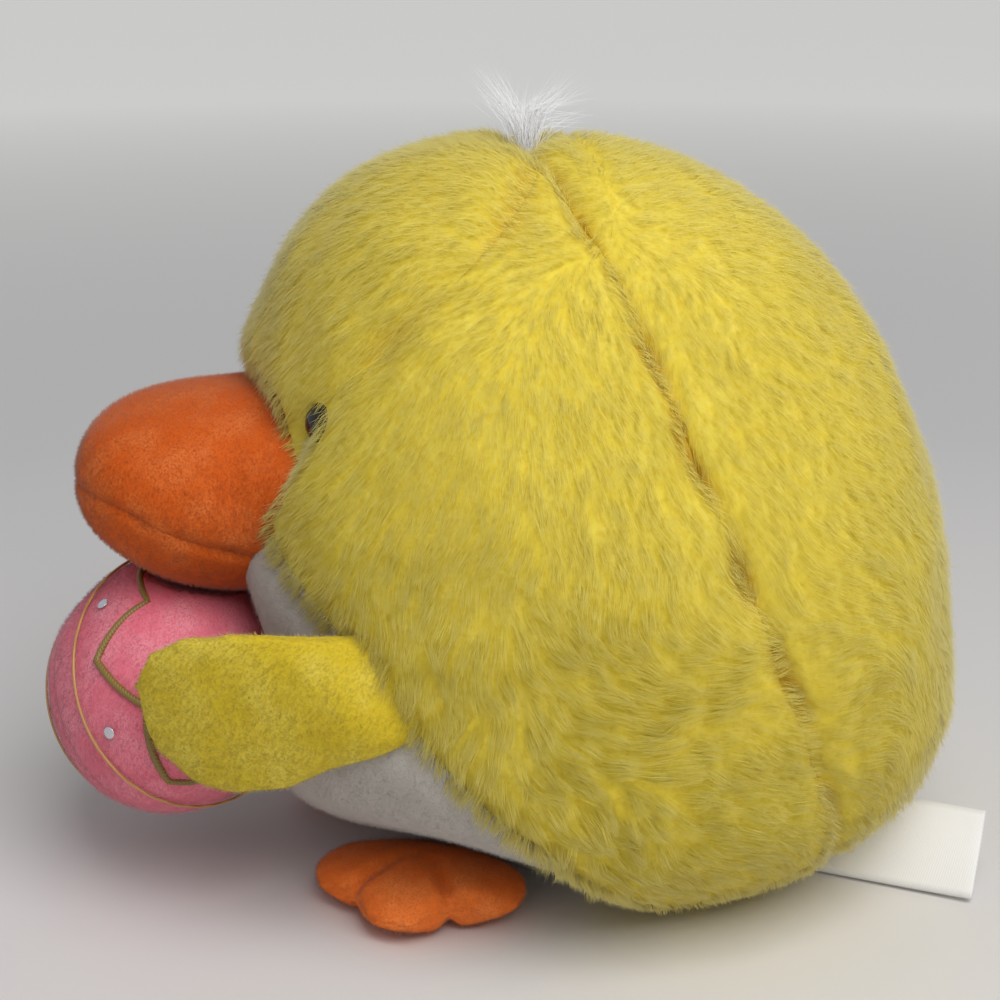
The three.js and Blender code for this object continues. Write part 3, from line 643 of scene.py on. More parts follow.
@dataclass(frozen=True)
class Nap:
    """How a pile grows out of its fabric. Angles are in degrees."""

    length: float
    width: float
    root_lift: float
    tip_lift: float
    waist: float = 0.4
    turn: float = 10.0
    tuft_gap: float = 0.0
    tuft_pull: float = 0.0
    tuft_turn: float = 0.0
    tone: float = 0.5
    tone_spread: float = 0.16
    bend: bool = True
    softness: float = 0.75
    length_range: tuple[float, float] = (0.75, 1.15)
    lift_spread: float = 0.18
    stray_share: float = 0.06
    stray_lift: float = 0.9
    tuft_rise: float = 0.3
    waist_gather: float = 0.35
    tip_gather: float = 0.75
    shortest: float = 0.1
    most_root_lift: float = 84.0
    most_tip_lift: float = 76.0
    tuft_length: float = 0.95
    tuft_reach: float = 2.5
    tuft_tones: float = 1.2
    pull_spread: float = 0.12
    most_pull: float = 0.9

    def grow(
        self,
        name: str,
        fabric: Mesh,
        count: int,
        groomed: Grooming,
        material: Material,
        seed: int,
    ) -> Piece:
        """Grows strands on a fabric.

        Args:
            name: The piece's name.
            fabric: The mesh that the strands stand on.
            count: How many strands.
            groomed: How they lie and are cut.
            material: The strands' finish.
            seed: Picks the strands.

        Returns:
            All the strands as one piece.
        """
        rng = np.random.default_rng(seed)
        roots, normals = scattered(fabric, count, rng)
        left = groomed.trim(roots)
        kept = (left > self.shortest) & (rng.random(count) < groomed.dense(roots))
        roots, normals, left = roots[kept], normals[kept], left[kept]
        count = len(roots)
        length = self.length * left * rng.uniform(*self.length_range, count)
        # For the fur, the tint adds painted shade near the seams and a painted highlight along the edge over
        # the belly to the random tone.
        tone = rng.normal(self.tone, self.tone_spread, count) + groomed.tint(roots)
        turn = np.radians(rng.normal(0.0, self.turn, count))
        lift = rng.normal(1.0, self.lift_spread, count)
        lift += self.stray_lift * (rng.random(count) < self.stray_share)
        waist, tip = self.bent(roots, normals, groomed.comb, turn, lift * groomed.stand(roots), length)
        if self.tuft_gap:
            tufts = max(1, int(fabric_area(fabric) / self.tuft_gap**2))
            centres, upward = scattered(fabric, tufts, rng)
            ruffled = groomed.tousle(centres)
            swing = np.radians(rng.normal(0.0, self.tuft_turn, tufts)) * ruffled
            rise = rng.normal(1.0, self.tuft_rise, tufts) * ruffled + 1.0 - ruffled
            own = nearest(roots, centres)
            reach = np.full(tufts, self.length * self.tuft_length)
            raised = rise * groomed.stand(centres)
            middle, end = self.bent(centres, upward, groomed.comb, swing, raised, reach)
            pull = rng.normal(self.tuft_pull, self.pull_spread, count) * ruffled[own]
            pull = np.clip(pull, 0.0, self.most_pull)[:, None]
            gone = np.linalg.norm(centres[own] - roots, axis=1) > self.tuft_reach * self.tuft_gap
            pull[gone] = 0.0
            scale = left[:, None]
            waist += (roots + (middle - centres)[own] * scale - waist) * pull
            waist += (centres[own] - roots) * pull * self.waist_gather
            tip += (roots + (end - centres)[own] * scale - tip) * pull
            tip += (centres[own] - roots) * pull * self.tip_gather
            tone += (rng.normal(0.0, self.tone_spread * self.tuft_tones, tufts) * ruffled)[own]
        return self.laid(name, roots - normals * self.width, waist, tip, tone, normals, material)

    def bent(
        self,
        roots: Points,
        normals: Points,
        comb: Comb,
        turn: np.ndarray,
        lift: np.ndarray,
        length: np.ndarray,
    ) -> tuple[Points, Points]:
        """Where strands have their waists and tips.

        Args:
            roots: Where they start.
            normals: The fabric's outward directions there.
            comb: Gives the direction in which the pile lies.
            turn: Each strand's turn from that direction, in radians.
            lift: Each strand's share of the usual lift.
            length: Each strand's length.

        Returns:
            The waists and the tips.
        """
        along = comb(roots, normals)
        across = np.cross(normals, along)
        along = along * np.cos(turn)[:, None] + across * np.sin(turn)[:, None]
        low = np.radians(np.clip(self.root_lift * lift, 0.0, self.most_root_lift))
        high = np.radians(np.clip(self.tip_lift * lift**2, 0.0, self.most_tip_lift))
        first = along * np.cos(low)[:, None] + normals * np.sin(low)[:, None]
        second = along * np.cos(high)[:, None] + normals * np.sin(high)[:, None]
        waist = roots + first * (length * self.waist)[:, None]
        return waist, waist + second * (length * (1 - self.waist))[:, None]

    def laid(
        self,
        name: str,
        roots: Points,
        waists: Points,
        tips: Points,
        tone: np.ndarray,
        normals: Points,
        material: Material,
    ) -> Piece:
        """Copies the needle along every strand.

        Args:
            name: The piece's name.
            roots: Where the strands start.
            waists: Where they are thickest.
            tips: Where they end.
            tone: How light each is, from 0 to 1.
            normals: The fabric's outward directions.
            material: The strands' finish.

        Returns:
            All the strands as one piece.
        """
        shape, faces = needle(self.bend)
        for points in (waists, tips):
            points[:, 2] = np.maximum(points[:, 2], FLOOR_CLEARANCE)
        along = unit(tips - roots)
        across = unit(np.cross(normals, along))
        over = np.cross(along, across)
        line = np.stack([roots, waists, tips], 1)
        level = np.rint(shape[:, 2]).astype(int)
        half = self.width / 2
        places = line[:, level]
        bulge = across[:, None] * shape[None, :, :1] + over[:, None] * shape[None, :, 1:2]
        places = places + bulge * half
        count, corners = places.shape[:2]
        triangles = (faces[None] + np.arange(count)[:, None, None] * corners).reshape(-1, 3)
        mesh = bpy.data.meshes.new(name)
        mesh.vertices.add(count * corners)
        mesh.loops.add(triangles.size)
        mesh.polygons.add(len(triangles))
        mesh.vertices.foreach_set("co", places.astype(np.float32).ravel())
        mesh.loops.foreach_set("vertex_index", triangles.astype(np.int32).ravel())
        mesh.polygons.foreach_set("loop_start", np.arange(0, triangles.size, 3, dtype=np.int32))
        mesh.polygons.foreach_set("use_smooth", np.ones(len(triangles), bool))
        tone = np.clip(tone, 2 * TONE_WIDTH, 1 - 2 * TONE_WIDTH)
        tones = tone[:, None] + TONE_WIDTH * shape[None, :, 0]
        heights = np.broadcast_to(np.array([0.02, self.waist, 0.98])[level], tones.shape)
        layer = mesh.uv_layers.new(name=BAKE_MAP)
        layout = np.stack([tones, heights], 2).reshape(-1, 2)[triangles.ravel()]
        layer.uv.foreach_set("vector", layout.astype(np.float32).ravel())
        mesh.materials.append(material)
        mesh.update()
        facing = unit(normals[:, None] * self.softness + bulge * (1 - self.softness))
        mesh.normals_split_custom_set_from_vertices(facing.reshape(-1, 3))
        return linked(name, mesh)


SHORT_NAP = Nap(
    length=1.3 * MM,
    width=0.14 * MM,
    root_lift=50.0,
    tip_lift=40.0,
    turn=25.0,
    tone_spread=0.07,
    bend=False,
    softness=0.9,
)


def fabric_area(mesh: Mesh) -> float:
    """The area of a mesh."""
    found = np.empty(len(mesh.polygons), np.float32)
    mesh.polygons.foreach_get("area", found)
    return float(found.sum())


def straight_comb(direction: tuple[float, float, float]) -> Comb:
    """A pile that lies one way.

    Args:
        direction: That way, in the chick's frame.

    Returns:
        The comb.
    """
    wanted = np.array(direction, float)

    def comb(points: Points, normals: Points) -> Points:
        """The wanted direction, laid on the fabric."""
        flat = wanted - normals * (normals @ wanted)[:, None]
        return unit(flat + 1e-6)

    return comb


# Body


@dataclass(frozen=True)
class BodyForm:
    """The body's outer shape: a leaning pear that is flat where it sits."""

    half_width: float = 105 * MM
    front: float = 107.5 * MM
    back: float = 111 * MM
    waist: float = 64 * MM
    crown: float = 155 * MM
    below: float = 70 * MM
    fullness: float = 2.25
    lean: float = 0.1
    crush: float = 0.4

    def axes(self, directions: Points, inset: float) -> Points:
        """The half axes that count towards each direction, drawn in by an inset."""
        side = np.full(len(directions), self.half_width - inset)
        lengthwise = np.where(directions[:, 1] < 0, self.front, self.back) - inset
        upright = np.where(directions[:, 2] < 0, self.below - inset * self.crush, self.crown - inset)
        return np.stack([side, lengthwise, upright], 1)

    def level(self, points: Points, inset: float = 0.0) -> np.ndarray:
        """1 on the surface, less inside and more outside."""
        upright = points.copy()
        upright[:, 1] += self.lean * points[:, 2]
        upright[:, 2] -= self.waist
        return (np.abs(upright / self.axes(upright, inset)) ** self.fullness).sum(1)

    def shell(self, directions: Points, inset: float) -> Points:
        """The surface's points in these directions from the middle."""
        sums = (np.abs(directions / self.axes(directions, inset)) ** self.fullness).sum(1)
        points = directions * (sums ** (-1 / self.fullness))[:, None]
        points[:, 2] += self.waist
        points[:, 1] -= self.lean * points[:, 2]
        return points

    def normals(self, points: Points) -> Points:
        """The outward directions near these points."""
        step = 0.5 * MM * np.eye(3)
        return unit(np.stack([self.level(points + s) - self.level(points - s) for s in step], 1))

    def under(self, x: float, y: float) -> np.ndarray:
        """The point of the underside below a place."""
        heights = np.linspace(self.waist, self.waist - self.below, 800)
        column = np.column_stack([np.full_like(heights, x), np.full_like(heights, y), heights])
        return column[self.level(column) < 1][-1]

    def front_at(self, height: float) -> float:
        """How far forward the body reaches at a height above its widest line."""
        upright = self.crown if height > self.waist else self.below
        share = 1 - (abs(height - self.waist) / upright) ** self.fullness
        return -self.front * share ** (1 / self.fullness) - self.lean * height


@dataclass(frozen=True)
class Seam:
    """A sewn line, where a plane meets the body."""

    point: Vector
    normal: Vector

    def distance(self, points: Points) -> np.ndarray:
        """How far points lie past the plane."""
        return (points - np.array(self.point)) @ np.array(self.normal)


def seam_from_side(y: float, z: float, angle: float, forward: bool) -> Seam:
    """A seam that shows as a straight line from the side.

    Args:
        y: A point on it.
        z: The height of that point.
        angle: How steeply it runs down, in degrees.
        forward: Whether it runs forward or back.

    Returns:
        The seam, its direction up or back.
    """
    run = -1 if forward else 1
    slope = math.radians(angle)
    return Seam(Vector((0, y, z)), Vector((0, run * math.sin(slope), math.cos(slope))))


@dataclass(frozen=True)
class CombStroke:
    """One stroke of a comb over the flank: where it passes, in millimetres, and which way it lays the fur."""

    y: float
    z: float
    backward: float
    upward: float


STROKES = tuple(
    CombStroke(*stroke)
    for stroke in (
        (-100, 128, -1.0, -0.1),
        (-102, 110, -1.0, -0.4),
        (-80, 148, -0.8, -0.6),
        (-92, 96, -0.5, -0.9),
        (-72, 148, -0.15, -1.0),
        (-62, 138, 0.0, -1.0),
        (-78, 116, -0.3, -1.0),
        (-63, 114, 0.15, -1.0),
        (-50, 125, 0.2, -1.0),
        (-75, 82, 0.1, -1.0),
        (-56, 66, 0.25, -1.0),
        (-42, 96, 0.4, -0.9),
        (-37, 78, 0.2, -1.0),
        (-35, 42, 0.2, -1.0),
        (-26, 88, 0.9, -0.4),
        (-26, 72, 0.8, -0.6),
        (-12, 88, 1.0, 0.0),
        (-12, 72, 1.0, -0.05),
        (2, 86, 1.0, 0.1),
        (2, 70, 1.0, -0.05),
        (14, 84, 0.9, 0.1),
        (14, 68, 1.0, -0.15),
        (-12, 40, 0.6, -0.8),
        (16, 36, 0.8, -0.5),
        (5, 112, 0.4, -0.9),
        (-20, 130, 0.15, -1.0),
        (-10, 175, 0.1, -1.0),
        (34, 82, 0.9, 0.2),
        (47, 106, 0.7, -0.5),
        (62, 100, 0.35, -1.0),
        (92, 60, 0.3, -1.0),
        (75, 26, 0.6, -0.8),
        (20, 8, 0.2, -1.0),
        (-70, 190, -0.7, -0.5),
        (-95, 165, -0.6, -0.9),
        (-30, 215, -1.0, -0.2),
        (10, 212, 1.0, -0.25),
        (50, 180, 0.8, -0.8),
    )
)


def eye_front(side: Side) -> np.ndarray:
    """The foremost point of an eye's solid, seen along the face there."""
    corners = points_of(frame["nodes"][f"{side.word}_eye"].data)
    outward = BodyForm().normals(corners.mean(0)[None])[0]
    return corners[np.argmax(corners @ outward)]


@dataclass
class FurCoat:
    """The body's covers: five fur panels, the belly and the base."""

    form: BodyForm = field(default_factory=BodyForm)
    pelt_inset: float = 2.8 * MM
    pelt_thickness: float = 2.2 * MM
    belly_inset: float = 1.0 * MM
    valley_depth: float = 4.8 * MM
    valley_width: float = 2.8 * MM
    seam_wander: float = 1.6 * MM
    edge_width: float = 5.0 * MM
    beak_draw: float = 6.0 * MM
    notch_depth: float = 4.0 * MM
    notch_width: float = 11 * MM
    socket_depth: float = 11.0 * MM
    socket_width: float = 6.5 * MM
    eye_bare: float = 6.0 * MM
    forehead_swell: float = 2.5 * MM
    belly_valley: float = 3.0 * MM
    base_half_width: float = 40 * MM
    base_half_length: float = 42 * MM
    dent_aside: float = 58 * MM
    dent_ahead: float = -54.9 * MM
    dent_radius: float = 56 * MM
    dent_depth: float = 14.5 * MM
    egg_draw: float = 11.0 * MM
    egg_edge: float = 9 * MM
    egg_draw_from: float = 52 * MM
    stroke_reach: float = 13 * MM
    tuft_share: int = 6
    tuft_relief: float = 1.1 * MM
    tuft_length: float = 6 * MM
    tuft_width: float = 4 * MM
    hem_width: float = 9 * MM
    bare_height: float = 2.0 * MM
    seat_height: float = 1.0 * MM
    brow: tuple[float, float, float] = (0.0, -62 * MM, 192 * MM)
    brow_width: float = 34 * MM
    crown_shift: float = 4 * MM
    fork_drop: float = 4 * MM
    back_slope: float = 69.0
    forehead_slope: float = 41.5
    belly_slope: float = 51.0
    belly_start: float = 49 * MM
    base_thickness: float = 1.4 * MM
    base_round: float = 0.5 * MM
    forehead_count: int = 27000
    panel_count: int = 50000
    belly_count: int = 30000
    valley_fade: float = 110 * MM
    beak_size: float = 18 * MM
    beak_edge: float = 9 * MM
    # How wide the painted shade along the seams is, and how it fades towards the floor.
    groove_width: float = 1.8 * MM
    groove_fade: float = 90 * MM
    calm_height: float = 150 * MM
    calm_span: float = 80 * MM
    calm_depth: float = 40 * MM
    calm_length: float = 60 * MM
    short_height: float = 4 * MM
    short_span: float = 36 * MM
    fineness: int = 7
    nap: Nap = Nap(
        length=11.0 * MM,
        width=0.14 * MM,
        root_lift=38.0,
        tip_lift=10.0,
        turn=10.0,
        tuft_gap=5.0 * MM,
        tuft_pull=0.75,
        tuft_turn=26.0,
        tone_spread=0.07,
        softness=0.95,
    )
    belly_nap: Nap = SHORT_NAP

    def __post_init__(self) -> None:
        """Lays out the seams."""
        self.socket_shift = np.array([0.0, -3.0 * MM, -1.5 * MM])
        self.eye_shift = np.array([0.0, -2.5 * MM, 0.0])
        form = self.form
        top = form.waist + form.crown
        self.back = seam_from_side(-form.lean * top - self.crown_shift, top, self.back_slope, False)
        drop = self.fork_drop
        fork = self.back.point + Vector((0, drop / math.tan(math.radians(self.back_slope)), -drop))
        self.fork = np.array(fork)
        self.forehead = seam_from_side(fork.y, fork.z, self.forehead_slope, True)
        waist_front = -form.front - form.lean * form.waist
        self.belly = seam_from_side(waist_front + self.belly_start, form.waist, self.belly_slope, False)
        self.middle = Seam(Vector((0, 0, form.waist)), Vector((1, 0, 0)))
        self.eyes = [eye_front(side) for side in Side]
        self.dents = np.array([form.under(side.value * self.dent_aside, self.dent_ahead) for side in Side])

    def socket(self, points: Points) -> tuple[np.ndarray, np.ndarray]:
        """How far points are from the hollow beside an eye, and how far along it towards the beak."""
        gaps, shares = [], []
        for side, eye in zip(Side, self.eyes):
            start = eye + self.socket_shift
            line = BEAK.corner(side) - start
            share = np.clip((points - start) @ line / (line @ line), 0.0, 1.0)
            gaps.append(np.linalg.norm(points - start - share[:, None] * line, axis=1))
            shares.append(share)
        return np.minimum(*gaps), np.where(gaps[0] < gaps[1], *shares)

    def sewn_near(self, points: Points, width: float) -> np.ndarray:
        """How strongly the nearest seam between two fur panels pulls, which wanders a little."""
        wander = self.seam_wander * lumps(points, 21 * MM, 5)
        past = self.back.distance(points)
        middle = 0.7 * hump(self.middle.distance(points), width)
        forehead = 0.55 * hump(self.forehead.distance(points) + wander, 1.5 * width)
        return np.maximum(hump(past + wander, width), np.where(past > 0, middle, forehead))

    def dented(self, points: Points) -> np.ndarray:
        """How far the feet press the underside in."""
        depth = np.zeros(len(points))
        for place, outward in zip(self.dents, self.form.normals(self.dents)):
            offset = points - place
            along = offset @ outward
            aside = np.linalg.norm(offset - along[:, None] * outward, axis=1)
            share = np.clip(1 - (aside / self.dent_radius) ** 2, 0.0, 1.0) ** 1.5
            depth = np.maximum(depth, self.dent_depth * share * (np.abs(along) < self.dent_radius))
        return depth

    def closed(self, points: Points) -> np.ndarray:
        """How far the fur has closed over the seams, from 0 to 1, which changes along them."""
        return np.clip(0.45 + 0.9 * lumps(points, 14 * MM, 6), 0.0, 0.92)

    def drawn_in(self, points: Points, furry: bool) -> np.ndarray:
        """How far the seams, the eyes and the beak draw each point in."""
        edge = hump(self.belly.distance(points), self.edge_width)
        if not furry:
            beside = np.maximum(np.sqrt(EGG.level(points)) - 1, 0.0) * EGG.radius
            high = np.clip((points[:, 2] - self.egg_draw_from) / self.egg_edge, 0.0, 1.0)
            return self.belly_valley * edge + self.egg_draw * high * hump(beside, self.egg_edge)
        near = self.sewn_near(points, self.valley_width) * (1 - 0.6 * self.closed(points))
        near *= np.clip(0.4 + points[:, 2] / self.valley_fade, 0.0, 1.0)
        inward = self.valley_depth * np.maximum(near, 0.5 * edge)
        inward += self.notch_depth * hump(np.linalg.norm(points - self.fork, axis=1), self.notch_width)
        gap, share = self.socket(points)
        inward += self.socket_depth * (0.4 + 0.6 * share) * hump(gap, self.socket_width)
        root = (BEAK.level(points, 0.0) - 1) * self.beak_size
        high = np.clip((points[:, 2] - BEAK.height) / self.beak_size, 0.0, 1.0)
        return np.maximum(inward, self.beak_draw * high * hump(np.maximum(root, 0.0), self.beak_edge))

    def tufted(self, points: Points) -> np.ndarray:
        """How far the tufts of the fur lift each point, like overlapping scales."""
        rng = np.random.default_rng(SEED)
        centres = points[rng.choice(len(points), len(points) // self.tuft_share, replace=False)]
        along = self.comb(centres, self.form.normals(centres))
        own = nearest(points, centres)
        offset = points - centres[own]
        ahead = (offset * along[own]).sum(1)
        aside = np.linalg.norm(offset - along[own] * ahead[:, None], axis=1)
        rise = np.clip(0.5 + ahead / self.tuft_length, 0, 1)
        rise *= np.clip(1 - (aside / self.tuft_width) ** 2, 0, 1)
        calm = 1 - self.sewn_near(points, 4 * MM)
        return self.tuft_relief * rise * calm * self.tousle(points)

    def panel(self, inset: float, furry: bool, wanted: Share) -> BMesh:
        """One panel of the skin, cut out along the seams and sewn in.

        Args:
            inset: How deep it lies under the outer shape.
            furry: Whether it is fur or the belly's short pile.
            wanted: Tells which faces belong to it by their middles.

        Returns:
            The panel as a bmesh.
        """
        bm = bmesh.new()
        bmesh.ops.create_icosphere(bm, subdivisions=self.fineness, radius=1.0)
        shaped(bm, lambda directions: self.form.shell(directions, inset))
        for seam in (self.back, self.forehead, self.belly, self.middle):
            parts = [*bm.verts, *bm.edges, *bm.faces]
            bmesh.ops.bisect_plane(bm, geom=parts, dist=0.05 * MM, plane_co=seam.point, plane_no=seam.normal)
        middles = np.array([face.calc_center_median() for face in bm.faces], float)
        others = [face for face, kept in zip(bm.faces, wanted(middles)) if not kept]
        bmesh.ops.delete(bm, geom=others, context="FACES")

        def sewn(points: Points) -> Points:
            """Draws the seams in, adds the lumps of the stuffing and flattens the seat."""
            rough = 1.3 * lumps(points, 48 * MM, 3) + (0.5 * lumps(points, 13 * MM, 4) if furry else 0.0)
            inward = self.drawn_in(points, furry) + MM * (rough if furry else 0.5 * rough)
            inward += self.dented(points)
            if furry:
                inward -= self.tufted(points)
            brow = np.linalg.norm(points - np.array(self.brow), axis=1)
            inward -= self.forehead_swell * hump(brow, self.brow_width)
            moved = points - self.form.normals(points) * inward[:, None]
            moved[:, 2] = np.maximum(moved[:, 2], self.seat_height)
            return moved

        shaped(bm, sewn)
        return bm

    def comb(self, points: Points, normals: Points) -> Points:
        """The way the long fur lies at each point."""
        places = np.array([(s.y * MM, s.z * MM) for s in STROKES])
        ways = np.array([(s.backward, s.upward) for s in STROKES])
        gap = np.linalg.norm(points[:, None, 1:] - places[None], axis=2)
        weight = np.exp(-((gap / self.stroke_reach) ** 2)) + 1e-5 / (gap + 0.01)
        flow = unit((weight[:, :, None] * ways[None]).sum(1))
        wanted = np.column_stack([np.zeros(len(points)), flow])
        hem = hump(self.belly.distance(points), self.hem_width)[:, None]
        wanted -= 0.7 * hem * np.array(self.belly.normal)
        wander = self.tousle(points) * (0.45 * lumps(points, 24 * MM, 8) + 0.4 * lumps(points, 10 * MM, 9))
        flat = wanted - normals * (wanted * normals).sum(1)[:, None]
        flat = unit(flat + 1e-5)
        across = np.cross(normals, flat)
        return unit(flat + across * wander[:, None])

    def tousle(self, points: Points) -> np.ndarray:
        """How ruffled the fur is at each point: little on the crown, more down the flanks."""
        height = np.clip((self.calm_height - points[:, 2]) / self.calm_span, 0.0, 1.0)
        back = np.clip((self.calm_depth - points[:, 1]) / self.calm_length, 0.35, 1.0)
        calm = 1 - 0.55 * hump(self.belly.distance(points), self.hem_width)
        return (0.3 + 0.7 * height * back) * calm

    def stand(self, points: Points) -> np.ndarray:
        """How much more upright the fur is along its edges and seams."""
        edge = 0.8 * hump(self.belly.distance(points), 10 * MM)
        seam = 0.6 * self.sewn_near(points, 5 * MM) * (1 - self.closed(points))
        return 1.0 + np.maximum(edge, seam) + 0.5 * (1 - self.tousle(points))

    def trim(self, points: Points) -> np.ndarray:
        """The share of the fur's length that is left at each point."""
        left = 0.4 + 0.6 * self.tousle(points)
        left *= 0.45 + 0.55 * np.clip((points[:, 2] - self.short_height) / self.short_span, 0.0, 1.0)
        left *= 1.0 - 0.3 * self.sewn_near(points, 2.5 * MM) * (1 - self.closed(points))
        gap, share = self.socket(points)
        left *= 1.0 - 0.75 * share * hump(gap, 7 * MM)
        for eye in self.eyes:
            left[np.linalg.norm(points - eye - self.eye_shift, axis=1) < self.eye_bare] = 0.0
        left[points[:, 2] < self.bare_height] = 0.0
        left[BEAK.level(points, -1.0 * MM) < 1] = 0.0
        return left

    def tint(self, points: Points) -> np.ndarray:
        """How much lighter or darker the fur is at each point: random tone, painted shade near the seams, and
        a painted highlight on the tips along the edge over the belly.
        """
        groove = self.sewn_near(points, 2 * MM)
        edge = hump(self.belly.distance(points), self.hem_width)
        return 0.1 * lumps(points, 26 * MM, 12) + 0.06 * lumps(points, 9 * MM, 13) - 0.2 * groove + 0.4 * edge

    def dense(self, points: Points) -> np.ndarray:
        """The share of the strands that grows at each point: more along the edge over the belly."""
        return 0.62 + 0.38 * hump(self.belly.distance(points), 12 * MM)

    def build(self) -> None:
        """Makes all the covers."""
        pelt, strands = YELLOW_PELT.material(), YELLOW_STRANDS.material()
        groomed = Grooming(self.comb, self.trim, self.tint, self.tousle, self.stand, self.dense)

        def furred(points: Points) -> np.ndarray:
            """Whether faces lie on the fur's side of the belly seam."""
            return self.belly.distance(points) > 0

        def ahead(points: Points) -> np.ndarray:
            """Whether faces lie in front of the back seam."""
            return self.back.distance(points) < 0

        def above(points: Points) -> np.ndarray:
            """Whether faces lie above the forehead seam."""
            return self.forehead.distance(points) > 0

        panels: list[tuple[str, int, Share]] = [
            ("forehead", self.forehead_count, lambda p: furred(p) & ahead(p) & above(p)),
        ]
        for side in Side:
            panels.append(
                (
                    f"{side.word}_side",
                    self.panel_count,
                    lambda p, s=side: furred(p) & ahead(p) & ~above(p) & (p[:, 0] * s.value > 0),
                )
            )
            panels.append(
                (
                    f"{side.word}_back",
                    self.panel_count,
                    lambda p, s=side: furred(p) & ~ahead(p) & (p[:, 0] * s.value > 0),
                )
            )
        for index, (name, count, wanted) in enumerate(panels):
            cover = new_piece(f"{name}_pelt", self.panel(self.pelt_inset, True, wanted), pelt)
            # Painted shade: how dark the pelt is painted at the bottoms of the seams.
            depth = cover.data.attributes.new(SEAM_SHADE, "FLOAT", "POINT")
            skin = points_of(cover.data)
            near = self.sewn_near(skin, self.groove_width) * (1 - self.closed(skin))
            near *= np.clip(skin[:, 2] / self.groove_fade, 0.3, 1.0)
            depth.data.foreach_set("value", near.astype(np.float32))
            pile = self.nap.grow(f"{name}_pile", cover.data, count, groomed, strands, SEED + index)
            set_on(cover, pile, self.pelt_thickness, "yellow_fur", f"{name}_panel", fill=0.8)
        self.build_belly()

    def build_belly(self) -> None:
        """Makes the belly with its short nap, and the base."""
        # The belly's white is painted grey, as painted shade.
        cloth, strands = SHADED_WHITE_NAP.material(), SHADED_WHITE_STRANDS.material()
        cover = new_piece(
            "belly_cover", self.panel(self.belly_inset, False, lambda p: self.belly.distance(p) < 0), cloth
        )

        def shown(points: Points) -> np.ndarray:
            """Leaves the nap off where something is sewn on or the belly stands."""
            sewn_on = (BEAK.level(points, 0.0) < 1) | (EGG.level(points) < 1)
            return np.where(sewn_on | (points[:, 2] < self.bare_height), 0.0, 1.0)

        groomed = Grooming(straight_comb((0.0, 0.3, -1.0)), shown)
        nap = self.belly_nap.grow("belly_nap", cover.data, self.belly_count, groomed, strands, SEED + 11)
        nodes = ("belly_panel", "body_stuffing")
        set_on(cover, nap, self.pelt_thickness, "white_velboa", *nodes, fill=0.8)
        bm = bmesh.new()
        bmesh.ops.create_circle(bm, cap_ends=True, segments=64, radius=1.0)
        bmesh.ops.scale(bm, verts=bm.verts, vec=(self.base_half_width, self.base_half_length, 1.0))
        lifted = bmesh.ops.extrude_face_region(bm, geom=bm.faces[:])["geom"]
        top = [part for part in lifted if isinstance(part, bmesh.types.BMVert)]
        bmesh.ops.translate(bm, verts=top, vec=(0, 0, self.base_thickness))
        rim = [edge for edge in bm.edges if abs(edge.verts[0].co.z - edge.verts[1].co.z) < 1e-7]
        bmesh.ops.bevel(
            bm, geom=rim, offset=self.base_round, affect="EDGES", segments=2, profile=0.5, material=-1
        )
        bmesh.ops.recalc_face_normals(bm, faces=bm.faces)
        bmesh.ops.translate(bm, verts=bm.verts, vec=(0, 0, FLOOR_CLEARANCE))
        base = new_piece("base_cover", bm, cloth)
        dress(base, "chick", "white_velboa", "base_panel", fill=0.7)


def thicken(piece: Piece, thickness: float) -> None:
    """Gives a cover its thickness, inwards."""
    modifier = piece.modifiers.new("Thickness", "SOLIDIFY")
    modifier.thickness = thickness
    modifier.offset = -1.0


def set_on(cover: Piece, pile: Piece, thickness: float, slot: str, *nodes: str, fill: float) -> None:
    """Gives a cover its thickness, and sets it on the chick with its pile.

    Args:
        cover: The finished cover.
        pile: Its strands.
        thickness: How thick the cover's fabric is.
        slot: The record's material slot of both.
        nodes: The nodes that the cover stands for.
        fill: How full the cover is.
    """
    thicken(cover, thickness)
    dress(cover, "chick", slot, *nodes, fill=fill)
    dress(pile, "chick", slot)


# Stuffing


@dataclass(frozen=True)
class Stuffing:
    """Fills a closed cover: a short cloth simulation with pressure inside, and then a finer mesh."""

    pressure: float = 6.0
    mass: float = 0.001
    stiffness: float = 1.0
    bending: float = 0.5
    slack: float = 1.0 * MM
    most: float = 6.0 * MM
    frames: int = 20

    def fill(self, bm: BMesh) -> None:
        mesh = bpy.data.meshes.new("filling")
        bm.to_mesh(mesh)
        before, outward = points_of(mesh), normals_of(mesh)
        move_points(mesh, before - outward * self.slack)
        holder = linked("filling", mesh)
        scene = bpy.context.scene
        cloth = holder.modifiers.new("Cloth", "CLOTH")
        cloth.point_cache.frame_end = self.frames
        settings = cloth.settings
        settings.mass = self.mass
        settings.tension_stiffness = self.stiffness
        settings.compression_stiffness = self.stiffness
        settings.shear_stiffness = self.stiffness / 2
        settings.bending_stiffness = self.bending
        settings.use_pressure = True
        settings.uniform_pressure_force = self.pressure
        settings.effector_weights.gravity = 0.0
        for number in range(1, self.frames + 1):
            scene.frame_set(number)
        shape = holder.evaluated_get(bpy.context.evaluated_depsgraph_get())
        step = points_of(shape.to_mesh()) - before
        bpy.data.objects.remove(holder)
        scene.frame_set(1)
        step -= outward * np.median((step * outward).sum(1))
        length = np.linalg.norm(step, axis=1, keepdims=True)
        step *= np.minimum(1.0, self.most / np.maximum(length, 1e-9))
        shaped(bm, lambda points: points + step)

    def refine(self, bm: BMesh, times: int) -> None:
        """Divides and smooths the cover."""
        for _ in range(times):
            bmesh.ops.subdivide_edges(bm, edges=bm.edges, cuts=1, use_grid_fill=True, smooth=0.0)
            smooth(bm, 5)


STUFFING = Stuffing()


def smooth(bm: BMesh, times: int) -> None:
    """Evens a mesh out."""
    for _ in range(times):
        bmesh.ops.smooth_vert(
            bm, verts=bm.verts, factor=0.5, use_axis_x=True, use_axis_y=True, use_axis_z=True
        )


